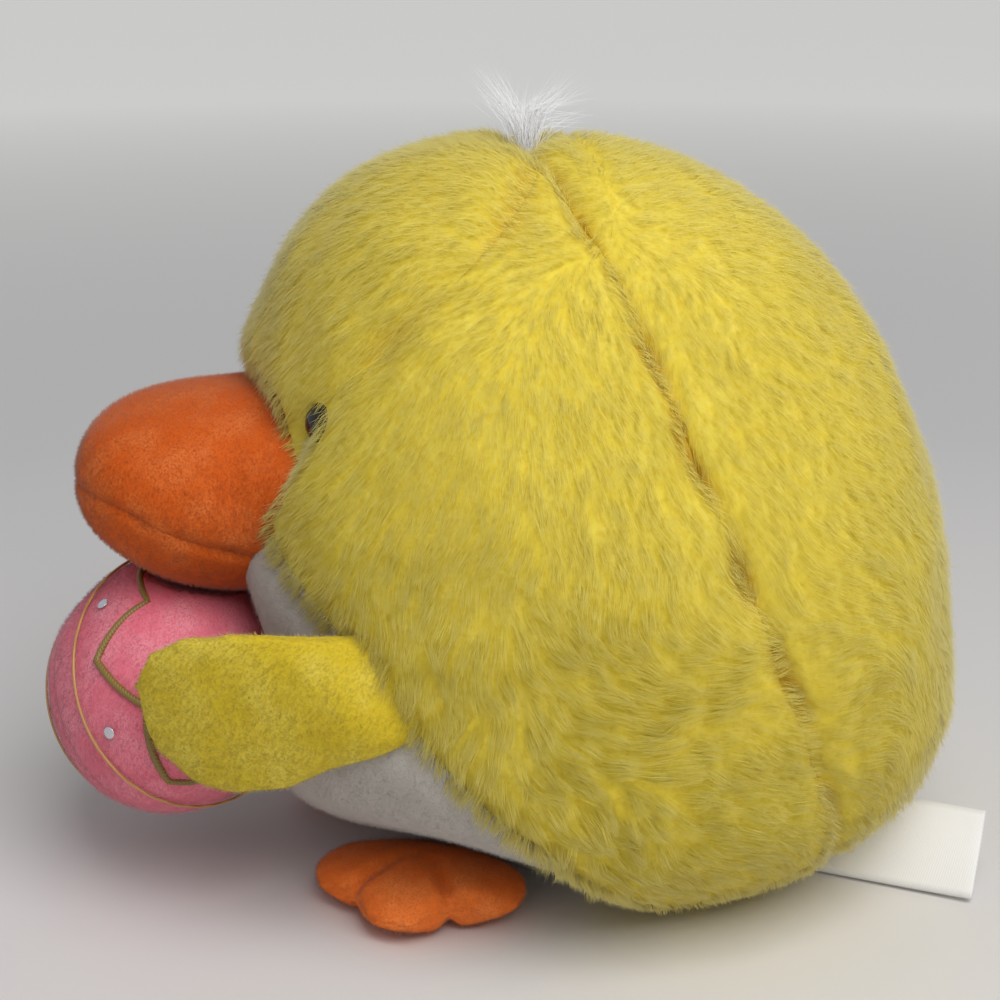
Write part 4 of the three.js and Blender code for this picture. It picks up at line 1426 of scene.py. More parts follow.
def stuffed_half(
    fineness: int, surface: Shape, form: BodyForm, point: Points, outside: Points, inset: float
) -> BMesh:
    """A stuffed cover that is cut along a seam, without what lies deep in the body.

    Args:
        fineness: How often a ball's faces are divided at first.
        surface: Puts the ball's points on the cover.
        form: The body's shape.
        point: A point on the seam's plane.
        outside: The direction of the side that is cut off.
        inset: How deep in the body a face is taken away.

    Returns:
        The half as a bmesh.
    """
    bm = bmesh.new()
    bmesh.ops.create_icosphere(bm, subdivisions=fineness, radius=1.0)
    shaped(bm, surface)
    STUFFING.fill(bm)
    STUFFING.refine(bm, 2)
    parts = [*bm.verts, *bm.edges, *bm.faces]
    bmesh.ops.bisect_plane(bm, geom=parts, dist=0.02 * MM, plane_co=point, plane_no=outside, clear_outer=True)
    middles = np.array([face.calc_center_median() for face in bm.faces], float)
    buried = [face for face, level in zip(bm.faces, form.level(middles, inset)) if level < 1]
    bmesh.ops.delete(bm, geom=buried, context="FACES")
    return bm


# Beak


@dataclass
class Beak:
    """A broad bill, fuller above than below, with a sewn mouth line."""

    form: BodyForm = field(default_factory=BodyForm)
    half_width: float = 41 * MM
    height: float = 120 * MM
    rise: float = 29.5 * MM
    fall: float = 30.5 * MM
    reach: float = 43 * MM
    root_depth: float = 12 * MM
    round_fullness: float = 2.4
    upper_fullness: float = 2.9
    root_flare: float = 0.12
    lower_fullness: float = 2.1
    seam_rise: float = 4 * MM
    seam_angle: float = 17.0
    seam_depth: float = 1.1 * MM
    seam_width: float = 1.8 * MM
    cheek_rise: float = 3.0 * MM
    face_inset: float = 16.0 * MM
    corner_back: float = 8 * MM
    corner_rise: float = 13 * MM
    cheek_width: float = 14 * MM
    flare_length: float = 10 * MM
    flare_height: float = 20 * MM
    upper_count: int = 26000
    lower_count: int = 14000
    fineness: int = 4
    nap: Nap = SHORT_NAP

    def __post_init__(self) -> None:
        """Finds the beak's place on the face."""
        self.place = np.array([0.0, self.form.front_at(self.height) + self.root_depth, self.height])
        tip = self.place[1] - self.reach - self.root_depth
        self.seam = seam_from_side(tip, self.height + self.seam_rise, self.seam_angle, False)

    def sums(self, directions: Points, inset: float) -> tuple[np.ndarray, np.ndarray]:
        """The sum that is 1 on the surface, and the fullness that it was taken with."""
        below = directions[:, 2] < 0
        upright = np.where(below, self.fall, self.rise) - inset
        full = np.where(below, self.lower_fullness, self.upper_fullness)
        aside = np.abs(directions[:, 0] / (self.half_width - inset)) ** self.round_fullness
        ahead = np.abs(directions[:, 1] / (self.reach + self.root_depth - inset)) ** self.round_fullness
        flat = (aside + ahead) ** (1 / self.round_fullness)
        return flat**full + np.abs(directions[:, 2] / upright) ** full, full

    def level(self, points: Points, inset: float) -> np.ndarray:
        """1 on the surface, less inside and more outside."""
        return self.sums(points - self.place, inset)[0]

    def corner(self, side: Side) -> np.ndarray:
        """Where the beak is widest, at the face."""
        return self.place + np.array([side.value * self.half_width, self.corner_back, self.corner_rise])

    def half(self, upper: bool) -> BMesh:
        """One cover of the beak, above or below the mouth line."""

        def bill(directions: Points) -> Points:
            """The bill's surface, a little inside the solid."""
            sums, full = self.sums(directions, 1.0 * MM)
            return directions * (sums ** (-1 / full))[:, None] + self.place

        def sewn(points: Points) -> Points:
            """Draws the mouth line in and lifts it at the cheeks."""
            past = self.seam.distance(points)
            outward = unit((points - self.place) * np.array([1.0, 0.8, 1.0]))
            back = (points[:, 1] - self.seam.point.y) / self.reach
            pinch = self.seam_depth * hump(past, self.seam_width) * np.clip(0.35 + 1.5 * back, 0.35, 1.0)
            pucker = 1 + 0.35 * lumps(points, 5 * MM, 21)
            moved = points - outward * (pinch * pucker)[:, None]
            lift = self.cheek_rise * hump(back - 0.3, 0.3) * hump(past, self.cheek_width)
            moved[:, 2] += lift
            root = np.clip((points[:, 1] - self.place[1]) / self.flare_length + 1.0, 0.0, 1.5)
            high = np.clip((points[:, 2] - self.height) / self.flare_height + 0.6, 0.0, 1.0)
            moved[:, 0] *= 1 + self.root_flare * root * high
            return moved - outward * (0.5 * MM * lumps(points, 22 * MM, 22))[:, None]

        outside = self.seam.normal * (-1 if upper else 1)
        bm = stuffed_half(self.fineness, bill, self.form, self.seam.point, outside, self.face_inset)
        shaped(bm, sewn)
        return bm

    def build(self) -> None:
        """Makes both covers with their nap."""
        cloth, strands = ORANGE_NAP.material(), ORANGE_STRANDS.material()
        groomed = Grooming(straight_comb((0.2, 1.0, -0.6)))
        for index, (word, count) in enumerate((("upper", self.upper_count), ("lower", self.lower_count))):
            cover = new_piece(f"beak_{word}_cover", self.half(word == "upper"), cloth)
            nap = self.nap.grow(f"beak_{word}_nap", cover.data, count, groomed, strands, SEED + 20 + index)
            nodes = [f"beak_{word}_panel"] + (["beak_stuffing"] if word == "upper" else [])
            set_on(cover, nap, BACKING, "orange_velboa", *nodes, fill=0.9)


# Egg


@dataclass
class Egg:
    """An egg that lies across the belly, with a line, a zigzag and dots sewn round each end."""

    form: BodyForm = field(default_factory=BodyForm)
    radius: float = 38.5 * MM
    half_length: float = 47 * MM
    height: float = 59 * MM
    sink: float = 21 * MM
    pole: tuple[float, float, float] = (0.615, 0.529, 0.585)
    line_place: float = 9 * MM
    zigzag_low: float = 17.5 * MM
    zigzag_high: float = 28 * MM
    zigzag_inset: float = 1.2 * MM
    zigzag_radius: float = 1.05 * MM
    zigzag_count: int = 6
    zigzag_start: float = 8.0
    dot_place: float = 16 * MM
    dot_radius: float = 1.8 * MM
    seam_place: float = -8 * MM
    far_shift: float = 7 * MM
    far_line_shift: float = 13 * MM
    face_inset: float = 14 * MM
    belly_gap: float = 3 * MM
    seam_depth: float = 0.8 * MM
    seam_width: float = 1.6 * MM
    press_gap: float = 0.8 * MM
    press_step: float = 1.0 * MM
    press_tries: int = 12
    dot_inset: float = 0.4 * MM
    line_radius: float = 0.4 * MM
    dot_flatness: float = 0.14
    nap_count: int = 22000
    fineness: int = 4
    nap: Nap = SHORT_NAP

    def __post_init__(self) -> None:
        """Finds the egg's place on the belly."""
        self.place = np.array([0.0, self.form.front_at(self.height) + self.sink - self.radius, self.height])
        self.poleward = unit(np.array(self.pole))
        self.ahead = unit(np.array([0.0, -1.0, 0.0]) + self.poleward * self.poleward[1])
        self.aside = np.cross(self.poleward, self.ahead)

    def axes(self, inset: float) -> Points:
        """Its half axes."""
        return np.array([self.half_length, self.radius, self.radius]) - inset

    def level(self, points: Points, inset: float = 0.0) -> np.ndarray:
        """1 on the surface, less inside and more outside."""
        return (((points - self.place) / self.axes(inset)) ** 2).sum(1)

    def pressed(self, points: Points) -> Points:
        """Dents the egg where the beak lies on it."""
        moved = points.copy()
        for _ in range(self.press_tries):
            inside = BEAK.level(moved, -self.press_gap) < 1
            moved[inside, 2] -= self.press_step
        return moved

    def half(self, side: Side) -> BMesh:
        """One cover of the egg."""

        def shell(directions: Points) -> Points:
            """The egg's surface, a little inside the solid."""
            return directions * self.axes(1.0 * MM) + self.place

        def sewn(points: Points) -> Points:
            """Draws the middle seam in and dents the top."""
            outward = unit(points - self.place)
            past = (points - self.place) @ self.poleward - self.seam_place
            inward = self.seam_depth * hump(past, self.seam_width) + 0.6 * MM * lumps(points, 24 * MM, 31)
            return self.pressed(points - outward * inward[:, None])

        seam = self.place + self.poleward * self.seam_place
        outside = self.poleward * -side.value
        bm = stuffed_half(self.fineness, shell, self.form, seam, outside, self.face_inset)
        shaped(bm, sewn)
        return bm

    def spot(self, place: float, turn: float, inset: float = 0.6 * MM) -> np.ndarray:
        """A point on the surface.

        Args:
            place: How far towards the pole it lies, from the middle.
            turn: Its angle round the pole, from straight ahead, in degrees.
            inset: How deep it lies.

        Returns:
            The point.
        """
        axes = self.axes(inset)
        angle = math.radians(turn)
        way = (self.ahead * math.cos(angle) + self.aside * math.sin(angle)) / axes
        start = self.poleward * place / axes
        half = start @ way / (way @ way)
        reach = -half + math.sqrt(half**2 - (start @ start - 1) / (way @ way))
        point = (start + way * reach) * axes
        return self.pressed((point + self.place)[None])[0]

    def thread(self, name: str, spots: list[np.ndarray], radius: float, material: Material) -> None:
        """Sews a thread through those points of a row on the egg that lie outside the belly."""
        spots = [spot for spot in spots if self.form.level(spot[None], self.belly_gap)[0] > 1]
        curve = bpy.data.curves.new(name, "CURVE")
        curve.dimensions = "3D"
        curve.bevel_depth = radius
        curve.bevel_resolution = 2
        curve.use_fill_caps = True
        line = curve.splines.new("POLY")
        line.points.add(len(spots) - 1)
        for point, spot in zip(line.points, spots):
            point.co = (*spot, 1.0)
        holder = linked(name + "_line", curve)
        shape = holder.evaluated_get(bpy.context.evaluated_depsgraph_get())
        mesh = bpy.data.meshes.new_from_object(shape)
        bpy.data.objects.remove(holder)
        mesh.materials.clear()
        mesh.materials.append(material)
        mesh.name = name
        dress(linked(name, mesh), "chick", "pink_velboa")

    def build(self) -> None:
        """Makes both covers with their nap, and what is sewn on them."""
        cloth, strands = PINK_NAP.material(), PINK_STRANDS.material()
        gold, olive, silver = GOLD_THREAD.material(), OLIVE_THREAD.material(), SILVER_FOIL.material()
        for index, side in enumerate(Side):
            cover = new_piece(f"egg_{side.word}_cover", self.half(side), cloth)
            groomed = Grooming(straight_comb((side.value * 0.6, 0.5, -1.0)))
            name = f"egg_{side.word}_nap"
            nap = self.nap.grow(name, cover.data, self.nap_count, groomed, strands, SEED + 30 + index)
            nodes = [f"egg_{side.word}_panel"] + (["egg_stuffing"] if side is Side.LEFT else [])
            set_on(cover, nap, BACKING, "pink_velboa", *nodes, fill=0.9)
            end = side.value
            shift = 0.0 if side is Side.LEFT else self.far_shift
            line_shift = 0.0 if side is Side.LEFT else self.far_line_shift
            line = [self.spot(end * (self.line_place + line_shift), turn) for turn in range(-180, 181, 3)]
            self.thread(f"egg_{side.word}_line", line, self.line_radius, gold)
            step = 180 / self.zigzag_count
            corners = [
                (self.zigzag_high if i % 2 else self.zigzag_low, self.zigzag_start + step * i)
                for i in range(-self.zigzag_count, self.zigzag_count + 1)
            ]
            zigzag = []
            for (place, turn), (next_place, next_turn) in zip(corners, corners[1:]):
                for share in np.linspace(0, 1, 9)[:-1]:
                    between = place + (next_place - place) * share
                    turned = turn + (next_turn - turn) * share
                    zigzag.append(self.spot(end * (between + shift), turned, self.zigzag_inset))
            self.thread(f"egg_{side.word}_zigzag", zigzag, self.zigzag_radius, olive)
            self.dots(side, silver)

    def dots(self, side: Side, material: Material) -> None:
        """Makes the foil dots between the line and the zigzag."""
        bm = bmesh.new()
        step = 180 / self.zigzag_count
        near = side is Side.LEFT
        shift = 0.0 if near else self.far_line_shift
        for tooth in (-3, -1, 1) if near else (-5, -3, -1, 1, 3, 5):
            turn = self.zigzag_start + step * tooth
            spot = self.spot(side.value * (self.dot_place + shift), turn, self.dot_inset)
            outward = Vector(unit((spot - self.place) / self.axes(0.0) ** 2))
            turned = outward.to_track_quat("Z", "Y").to_matrix().to_4x4()
            flat = Matrix.Diagonal((1.0, 1.0, self.dot_flatness, 1.0))
            place = Matrix.Translation(spot) @ turned @ flat
            bmesh.ops.create_uvsphere(bm, u_segments=14, v_segments=8, radius=self.dot_radius, matrix=place)
        dress(new_piece(f"egg_{side.word}_dots", bm, material), "chick", "pink_velboa")


BEAK = Beak()
EGG = Egg()


# Wings and feet


def copied_nodes(names: list[str], voxel: float) -> BMesh:
    """The solids of some nodes as one closed, even mesh.

    Args:
        names: The nodes.
        voxel: How fine the mesh is.

    Returns:
        The mesh as a bmesh.
    """
    bm = bmesh.new()
    for name in names:
        bm.from_mesh(frame["nodes"][name].data)
    bmesh.ops.remove_doubles(bm, verts=bm.verts, dist=0.005 * MM)
    mesh = bpy.data.meshes.new("copied")
    bm.to_mesh(mesh)
    bm.free()
    holder = linked("copied", mesh)
    remesh = holder.modifiers.new("Remesh", "REMESH")
    remesh.mode = "VOXEL"
    remesh.voxel_size = voxel
    shape = holder.evaluated_get(bpy.context.evaluated_depsgraph_get())
    even = bmesh.new()
    even.from_mesh(shape.to_mesh())
    bpy.data.objects.remove(holder)
    return even


@dataclass
class StuffedLimb:
    """A wing or a foot: two covers of short pile sewn together over stuffing."""

    body: str
    nodes: list[str]
    slot: str
    cloth: Material
    strands: Material
    seed: int
    root: Vector
    along: Vector
    up: Vector
    outward: Vector
    count: int
    shape: Shape
    settle: Shape
    soften: int = 0
    bend: tuple[float, float] | None = None
    voxel: float = 2.6 * MM
    evening: int = 16
    seam_depth: float = 0.8 * MM
    seam_width: float = 2.0 * MM
    nap: Nap = SHORT_NAP

    def build(self) -> None:
        """Makes the stuffed cover and its nap."""
        bm = copied_nodes(self.nodes, self.voxel)
        smooth(bm, self.evening)
        STUFFING.fill(bm)
        STUFFING.refine(bm, 1)
        smooth(bm, self.soften)
        cover = new_piece(f"{self.body}_cover", bm, self.cloth)
        places, normals = points_of(cover.data), normals_of(cover.data)
        own = np.array([self.along, self.up, self.outward], float)
        local = (places - np.array(self.root)) @ own.T
        solid = np.concatenate([points_of(frame["nodes"][node].data) for node in self.nodes])
        solid = (solid - np.array(self.root)) @ own.T
        low, high = solid.min(0), solid.max(0)
        local = low + (local - local.min(0)) * (high - low) / np.ptp(local, axis=0)
        facing = normals @ own.T
        rim = 1 - np.abs(facing[:, 2])
        pinch = self.seam_depth * hump(local[:, 2], self.seam_width) * rim
        pinch *= 1 + 0.2 * lumps(places, 7 * MM, self.seed)
        local = self.shape(local - facing * pinch[:, None])
        places = self.settle(local @ own + np.array(self.root))
        places[:, 2] = np.maximum(places[:, 2], FLOOR_CLEARANCE)
        move_points(cover.data, places)
        groomed = Grooming(straight_comb(tuple(self.along)))
        nap = self.nap.grow(f"{self.body}_nap", cover.data, self.count, groomed, self.strands, self.seed)
        bend = None
        if self.bend is not None:
            bend = (self.root + self.along * self.bend[0], self.root + self.along * self.bend[1])
        dress(cover, self.body, self.slot, *self.nodes, fill=0.8, bend=bend)
        dress(nap, self.body, self.slot, bend=bend)


@dataclass
class Limbs:
    """Both wings and both feet."""

    coat: FurCoat
    wing_count: int = 18000
    foot_count: int = 12000
    root_inset: float = 7.0 * MM
    root_stretch: float = 21 * MM
    root_blend: float = 20 * MM
    root_bend: tuple[float, float] = (-4 * MM, 16 * MM)
    wing_soften: int = 14
    root_share: float = 0.45
    root_fade: float = 24 * MM
    root_drop: float = 22 * MM
    tuck_step: float = 0.6 * MM
    tuck_tries: int = 26
    lower_swell: float = 4.0 * MM
    swell_drop: float = 15 * MM
    swell_place: float = 46 * MM
    swell_width: float = 24 * MM
    toe_turn: float = 33.0
    toe_crease: float = 3.2 * MM
    crease_width: float = 2.6 * MM
    crease_edge: float = 5 * MM
    crease_start: float = 6 * MM
    crease_fade: float = 16 * MM
    foot_turn: float = 28.0
    foot_growth: float = 0.97
    foot_aside: float = 36 * MM
    foot_ahead: float = -60.9 * MM

    def wing(self, local: Points) -> Points:
        """Draws a wing's root back and fills its lower edge."""
        moved = local.copy()
        root = np.clip(1 - local[:, 0] / self.root_fade, 0, 1)
        moved[:, 0] -= self.root_stretch * root * np.clip(0.5 - local[:, 1] / self.root_drop, 0, 1)
        low = np.clip(-local[:, 1] / self.swell_drop, 0, 1)
        moved[:, 1] -= self.lower_swell * low * hump(local[:, 0] - self.swell_place, self.swell_width)
        return moved

    def tucked(self, points: Points) -> Points:
        """Sinks a wing's root under the fur behind the belly's seam."""
        past = self.coat.belly.distance(points)
        share = np.clip(past / self.root_blend + self.root_share, 0, 1) ** 1.5
        moved = points.copy()
        for _ in range(self.tuck_tries):
            proud = self.coat.form.level(moved, self.root_inset) > 1
            moved -= self.coat.form.normals(moved) * (share * proud * self.tuck_step)[:, None]
        return moved

    def foot(self, local: Points) -> Points:
        """Presses creases between a foot's toes."""
        moved = local.copy()
        moved[:, :2] *= self.foot_growth
        reach = np.hypot(local[:, 0], local[:, 1])
        inner = np.clip(np.abs(local[:, 2]) / self.crease_edge, 0, 1)
        for turn in (self.toe_turn, -self.toe_turn):
            angle = math.radians(turn)
            aside = local[:, 1] * math.cos(angle) - local[:, 0] * math.sin(angle)
            ahead = local[:, 0] * math.cos(angle) + local[:, 1] * math.sin(angle) > 0
            depth = self.toe_crease * np.clip((reach - self.crease_start) / self.crease_fade, 0, 1) * ahead
            moved[:, 2] -= np.sign(local[:, 2]) * inner * depth * hump(aside, self.crease_width)
        return moved

    def build(self) -> None:
        """Makes the four limbs."""
        yellow, yellow_strands = WING_NAP.material(), WING_STRANDS.material()
        # The feet take the lighter copy of the orange velboa, with light painted in.
        orange, orange_strands = LIT_FOOT_NAP.material(), LIT_FOOT_STRANDS.material()
        joints = {joint["name"]: joint for joint in frame["joints"]}
        for index, side in enumerate(Side):
            word = side.word
            wing = [f"{word}_wing_{part}" for part in ("outer_panel", "inner_panel", "stuffing")]
            root = Vector(joints[f"{word}_wing_swing"]["pos_m"])
            up = Vector(joints[f"{word}_wing_swing"]["axis"]) * side.value
            low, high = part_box(wing[2])
            along = (low + high) / 2 - root
            along = (along - up * along.dot(up)).normalized()
            outward = up.cross(along) * side.value
            StuffedLimb(
                body=f"{word}_wing",
                nodes=wing,
                slot="yellow_velboa",
                cloth=yellow,
                strands=yellow_strands,
                seed=SEED + 40 + index,
                root=root,
                along=along,
                up=up,
                outward=outward,
                count=self.wing_count,
                shape=self.wing,
                settle=self.tucked,
                soften=self.wing_soften,
                bend=self.root_bend,
            ).build()
            foot = [f"{word}_foot_{part}" for part in ("top_panel", "sole_panel", "stuffing")]
            low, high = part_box(foot[2])
            turn = math.radians(self.foot_turn)
            ahead = Vector((side.value * math.cos(turn), -math.sin(turn), 0))
            middle = Vector((side.value * self.foot_aside, self.foot_ahead, (low.z + high.z) / 2))
            upright = Vector((0, 0, 1))
            StuffedLimb(
                body=f"{word}_foot",
                nodes=foot,
                slot="orange_velboa",
                cloth=orange,
                strands=orange_strands,
                seed=SEED + 50 + index,
                root=middle,
                along=ahead,
                up=upright.cross(ahead),
                outward=upright,
                count=self.foot_count,
                shape=self.foot,
                settle=np.copy,
            ).build()


# Eyes, tuft and label


@dataclass
class Eyes:
    """Two black domes on shanks, with the washers behind the fabric."""

    radius: float = 6 * MM
    dome: float = 4.5 * MM
    shank_radius: float = 2.4 * MM
    shank_length: float = 13 * MM
    edge: float = 0.6 * MM
    ahead: float = 0.3
    sink: float = 1.5 * MM
    dome_steps: int = 8
    segments: int = 40
    form: BodyForm = field(default_factory=BodyForm)

    def build(self) -> None:
        """Makes both eyes and finishes the washers."""
        black, milk = EYE_BLACK.material(), WASHER_MILK.material()
        for side in Side:
            node = f"{side.word}_eye"
            low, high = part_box(node)
            outward = Vector(self.form.normals(np.array([(low + high) / 2], float))[0])
            outward = (outward + Vector((0, -self.ahead, 0))).normalized()
            corners = points_of(frame["nodes"][node].data)
            front = max(Vector(corner).dot(outward) for corner in corners)
            middle = (low + high) / 2
            top = middle + outward * (front - middle.dot(outward) - self.sink)
            bm = self.turned()
            turn = outward.to_track_quat("Z", "Y").to_matrix().to_4x4()
            bmesh.ops.transform(bm, verts=bm.verts, matrix=Matrix.Translation(top) @ turn)
            dress(new_piece(f"{node}_dome", bm, black), "chick", "black_plastic", node)
            washer = frame["nodes"][f"{side.word}_eye_washer"]
            washer.data.materials.clear()
            washer.data.materials.append(milk)

    def turned(self) -> BMesh:
        """The eye on its own: the middle of its front at the origin, looking along Z."""
        bm = bmesh.new()
        profile = [(0.0, 0.0)]
        for step in range(1, self.dome_steps + 1):
            turn = math.radians(90 * step / self.dome_steps)
            profile.append((self.radius * math.sin(turn), self.dome * (math.cos(turn) - 1)))
        back = -self.dome - self.edge
        end = back - self.shank_length
        profile += [(self.radius, back), (self.shank_radius, back), (self.shank_radius, end), (0.0, end)]
        row = [bm.verts.new((x, 0, z)) for x, z in profile]
        edges = [bm.edges.new(pair) for pair in zip(row, row[1:])]
        bmesh.ops.spin(
            bm,
            geom=[*row, *edges],
            cent=(0, 0, 0),
            axis=(0, 0, 1),
            angle=2 * math.pi,
            steps=self.segments,
            use_merge=True,
        )
        bmesh.ops.remove_doubles(bm, verts=bm.verts, dist=1e-6)
        bmesh.ops.recalc_face_normals(bm, faces=bm.faces)
        return bm


@dataclass(frozen=True)
class Wisp:
    """A group of fibres that lean together. Angles are in degrees, backwards from upright."""

    fibres: int
    lean: float
    spread: float
    droop: float
    length: float


@dataclass
class Tuft:
    """Loose white fibres that stand out of the notch at the crown."""

    wisps: tuple[Wisp, ...] = (
        Wisp(70, -22.0, 6.0, -14.0, 31 * MM),
        Wisp(90, 12.0, 9.0, 55.0, 30 * MM),
        Wisp(90, -3.0, 8.0, 8.0, 19 * MM),
        Wisp(30, 0.0, 28.0, 20.0, 24 * MM),
    )
    sink: float = 3.0 * MM
    root_spread: tuple[float, float, float] = (1.5, 1.3, 0.5)  # in millimetres
    side_spread: float = 14.0
    length_range: tuple[float, float] = (0.6, 1.05)
    droop_range: tuple[float, float] = (0.5, 1.4)
    tone_range: tuple[float, float] = (0.3, 0.95)
    nap: Nap = Nap(
        length=24 * MM, width=0.16 * MM, root_lift=90.0, tip_lift=70.0, tone_spread=0.2, softness=0.85
    )

    def build(self) -> None:
        """Makes the tuft."""
        low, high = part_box("crown_tuft")
        rng = np.random.default_rng(SEED + 60)
        root = np.array([(low.x + high.x) / 2, (low.y + high.y) / 2, low.z - self.sink])
        parts: list[tuple[Points, ...]] = []
        for wisp in self.wisps:
            count = wisp.fibres
            roots = root + rng.normal(0.0, 1.0, (count, 3)) * np.array(self.root_spread) * MM
            lean = np.radians(rng.normal(wisp.lean, wisp.spread, count))
            aside = np.radians(rng.normal(0.0, self.side_spread, count))
            length = wisp.length * rng.uniform(*self.length_range, count)

            def heading(turn: np.ndarray) -> Points:
                """The direction of fibres that lean so far back."""
                level = np.cos(aside)
                return np.column_stack([np.sin(aside), np.sin(turn) * level, np.cos(turn) * level])

            waist = roots + heading(lean) * (length * 0.5)[:, None]
            bent = lean + np.radians(wisp.droop * rng.uniform(*self.droop_range, count))
            tip = waist + heading(bent) * (length * 0.5)[:, None]
            facing = unit(heading(lean + math.pi / 2) * 0.3 + np.array([0.4, 0.0, 1.0]))
            parts.append((roots, waist, tip, facing))
        roots, waist, tip, facing = (np.concatenate(group) for group in zip(*parts))
        tone = rng.uniform(*self.tone_range, len(roots))
        piece = self.nap.laid("crown_tuft_fibres", roots, waist, tip, tone, facing, TUFT_STRANDS.material())
        dress(piece, "chick", "white_fibre", "crown_tuft")


@dataclass
class Label:
    """A blank ribbon, folded in two and caught in a seam near the floor."""

    stations: int = 14
    loop_steps: int = 8
    strips: int = 12
    width: float = 27 * MM
    length: float = 31 * MM
    ribbon: float = 0.45 * MM
    gap: float = 0.9 * MM
    turn: float = 33.0
    wave: float = 0.8 * MM
    root_depth: float = 8.0 * MM
    root_slant: float = 15.0 * MM
    tuck: float = 5.0 * MM
    root_bend: tuple[float, float] = (-3 * MM, 8 * MM)

    def build(self) -> None:
        """Makes the label."""
        joint = next(joint for joint in frame["joints"] if joint["name"] == "label_flap")
        root, across = Vector(joint["pos_m"]), Vector(joint["axis"]).normalized()
        turn = math.radians(self.turn)
        outward = Vector((math.sin(turn), math.cos(turn), 0))
        facing = across.cross(outward).normalized()
        bm = bmesh.new()
        half = self.gap / 2
        reach = self.length + self.root_depth - half
        line = [(-self.root_depth + reach * i / self.stations, -half) for i in range(self.stations + 1)]
        for step in range(1, self.loop_steps):
            angle = math.radians(-90 + 180 * step / self.loop_steps)
            line.append((self.length - half + half * math.cos(angle), half * math.sin(angle)))
        line += [(x, -y) for x, y in reversed(line[: self.stations + 1])]
        row = [bm.verts.new((x, y, -self.width / 2)) for x, y in line]
        edges = [bm.edges.new(pair) for pair in zip(row, row[1:])]
        for _ in range(self.strips):
            made = bmesh.ops.extrude_edge_only(bm, edges=edges)["geom"]
            moved = [part for part in made if isinstance(part, bmesh.types.BMVert)]
            edges = [part for part in made if isinstance(part, bmesh.types.BMEdge)]
            bmesh.ops.translate(bm, verts=moved, vec=(0, 0, self.width / self.strips))

        def curled(points: Points) -> Points:
            """Bends the ribbon towards its loop, and slants its sewn edge to the body's underside."""
            share = np.clip(points[:, 0] / self.length, 0, 1)
            moved = points.copy()
            sewn = np.clip(-points[:, 0] / self.root_depth, 0, 1)
            moved[:, 0] -= self.root_slant * sewn * (0.5 - points[:, 2] / self.width)
            moved[:, 1] += self.wave * share**2 * np.sin(points[:, 2] / self.width * 4.0 + 0.6)
            return moved

        shaped(bm, curled)
        bmesh.ops.translate(bm, verts=bm.verts, vec=(-self.tuck, 0, 0))
        bmesh.ops.recalc_face_normals(bm, faces=bm.faces)
        frame_of = Matrix((outward, facing, across)).transposed().to_4x4()
        bmesh.ops.transform(bm, verts=bm.verts, matrix=Matrix.Translation(root) @ frame_of)
        piece = new_piece("blank_label", bm, WHITE_SATIN.material())
        thicken(piece, self.ribbon)
        piece.modifiers[0].offset = 0.0
        bend = (root + outward * self.root_bend[0], root + outward * self.root_bend[1])
        dress(piece, "label", "white_satin", "sewn_label", bend=bend)


# Stage


@dataclass(frozen=True)
class Lamp:
    """A square soft light."""

    name: str
    place: tuple[float, float, float]
    size: float
    power: float


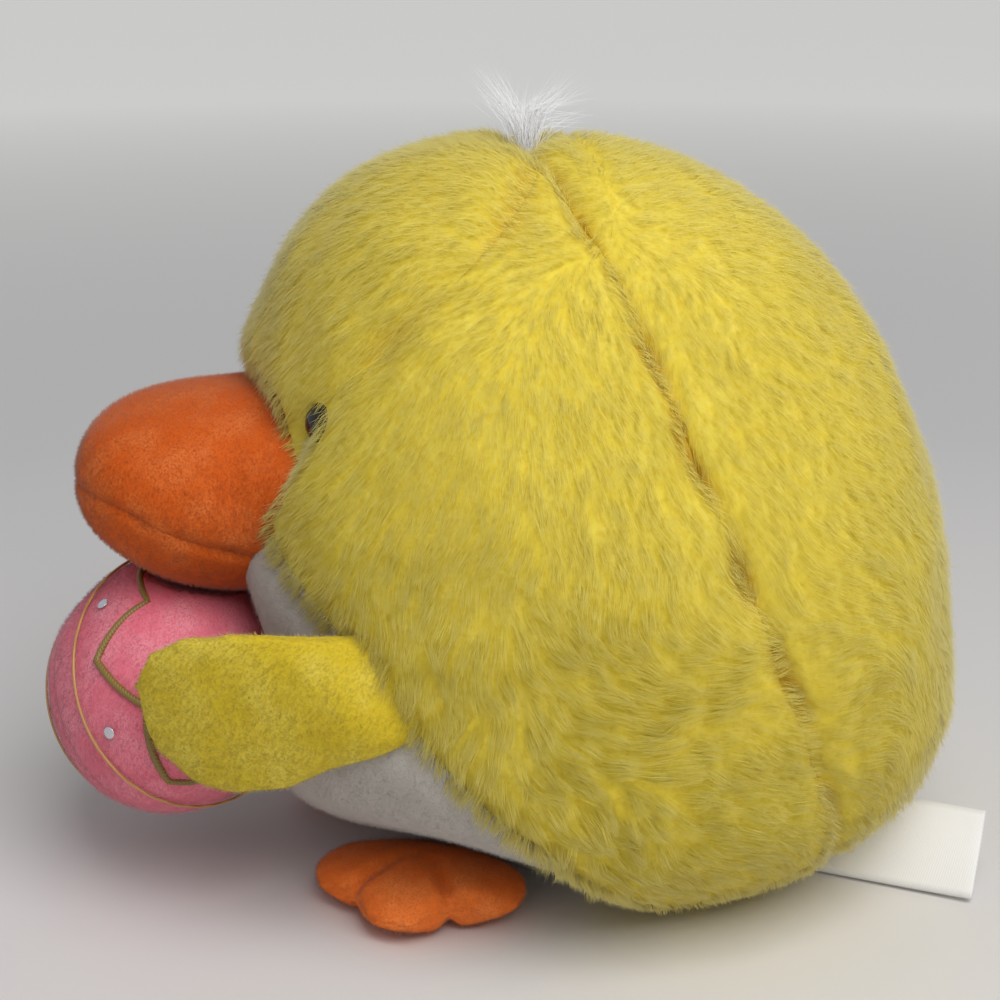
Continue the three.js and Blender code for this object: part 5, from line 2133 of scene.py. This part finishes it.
@dataclass
class Studio:
    """The floor, the lights and the camera."""

    target: tuple[float, float, float] = (0.0, -32.2 * MM, 109.4 * MM)
    azimuth: float = 79.0
    elevation: float = 18.0
    distance: float = 560 * MM
    lens: float = 67.2
    sensor_width: float = 36.0
    lamps: tuple[Lamp, ...] = (
        Lamp("key", (0.75, 0.15, 1.1), 0.9, 12.8),
        Lamp("fill", (1.3, -0.5, 0.7), 1.2, 0.8),
    )
    room_colour: Colour = (0.86, 0.88, 0.92)
    room_light: float = 0.3
    room_shown: float = 0.62
    floor_colour: Colour = (0.77, 0.75, 0.735)
    floor_size: float = 30.0
    floor_roughness: float = 0.6
    floor_glow: Colour = (0.33, 0.33, 0.31)
    glow_from: float = 0.5
    glow_full: float = 2.2

    def build(self) -> None:
        """Sets the stage."""
        scene = bpy.context.scene
        scene.view_settings.view_transform = "Standard"
        self.floor()
        for lamp in self.lamps:
            self.hang(lamp)
        world = bpy.data.worlds.new("studio")
        world.use_nodes = True
        kit = NodeKit(world.node_tree)
        light = world.node_tree.nodes["Background"]
        kit.give(self.room_colour, light.inputs["Color"])
        strength = kit.ranged(self.seen(kit), 0.0, 1.0, self.room_light, self.room_shown)
        kit.join(strength, light.inputs["Strength"])
        scene.world = world
        self.camera()

    @staticmethod
    def seen(kit: NodeKit) -> Socket:
        """1 for what the camera sees, also in mirrors and through glass, and 0 for light on things."""
        rays = kit.add("ShaderNodeLightPath")
        shown = rays.outputs["Is Camera Ray"]
        for other in ("Is Glossy Ray", "Is Transmission Ray"):
            shown = kit.reckoned("MAXIMUM", shown, rays.outputs[other])
        return shown

    def floor(self) -> None:
        """Makes the floor."""
        bm = bmesh.new()
        bmesh.ops.create_grid(bm, x_segments=2, y_segments=2, size=self.floor_size)
        constants = {
            "Base Color": self.floor_colour,
            "Roughness": self.floor_roughness,
            "Emission Color": self.floor_glow,
        }
        material, kit, shader = new_material("pale_floor", constants)
        away = kit.add("ShaderNodeVectorMath", operation="LENGTH")
        kit.join(kit.add("ShaderNodeTexCoord").outputs["Object"], away.inputs[0])
        far = kit.ranged(away.outputs["Value"], self.glow_from, self.glow_full)
        kit.join(kit.reckoned("MULTIPLY", far, self.seen(kit)), shader.inputs["Emission Strength"])
        new_piece("floor", bm, material)

    def hang(self, lamp: Lamp) -> None:
        """Adds a light that looks at the chick."""
        light = bpy.data.lights.new(lamp.name, "AREA")
        light.size = lamp.size
        light.energy = lamp.power
        holder = linked(lamp.name, light)
        holder.location = lamp.place
        look = Vector(self.target) - Vector(lamp.place)
        holder.rotation_euler = look.to_track_quat("-Z", "Y").to_euler()

    def camera(self) -> None:
        """Puts the camera where the photograph was taken from."""
        turn, rise = math.radians(self.azimuth), math.radians(self.elevation)
        back = Vector((math.sin(turn) * math.cos(rise), -math.cos(turn) * math.cos(rise), math.sin(rise)))
        data = bpy.data.cameras.new("camera")
        data.lens = self.lens
        data.sensor_width = self.sensor_width
        camera = linked("camera", data)
        camera.location = Vector(self.target) + back * self.distance
        camera.rotation_euler = (-back).to_track_quat("-Z", "Y").to_euler()
        bpy.context.scene.camera = camera


def main() -> None:
    """Builds the chick, piece by piece."""
    logging.basicConfig(level=logging.INFO, format="%(message)s")
    coat = FurCoat()
    for part in (Studio(), coat, BEAK, EGG, Limbs(coat), Eyes(), Tuft(), Label()):
        part.build()


if __name__ == "__main__":
    main()
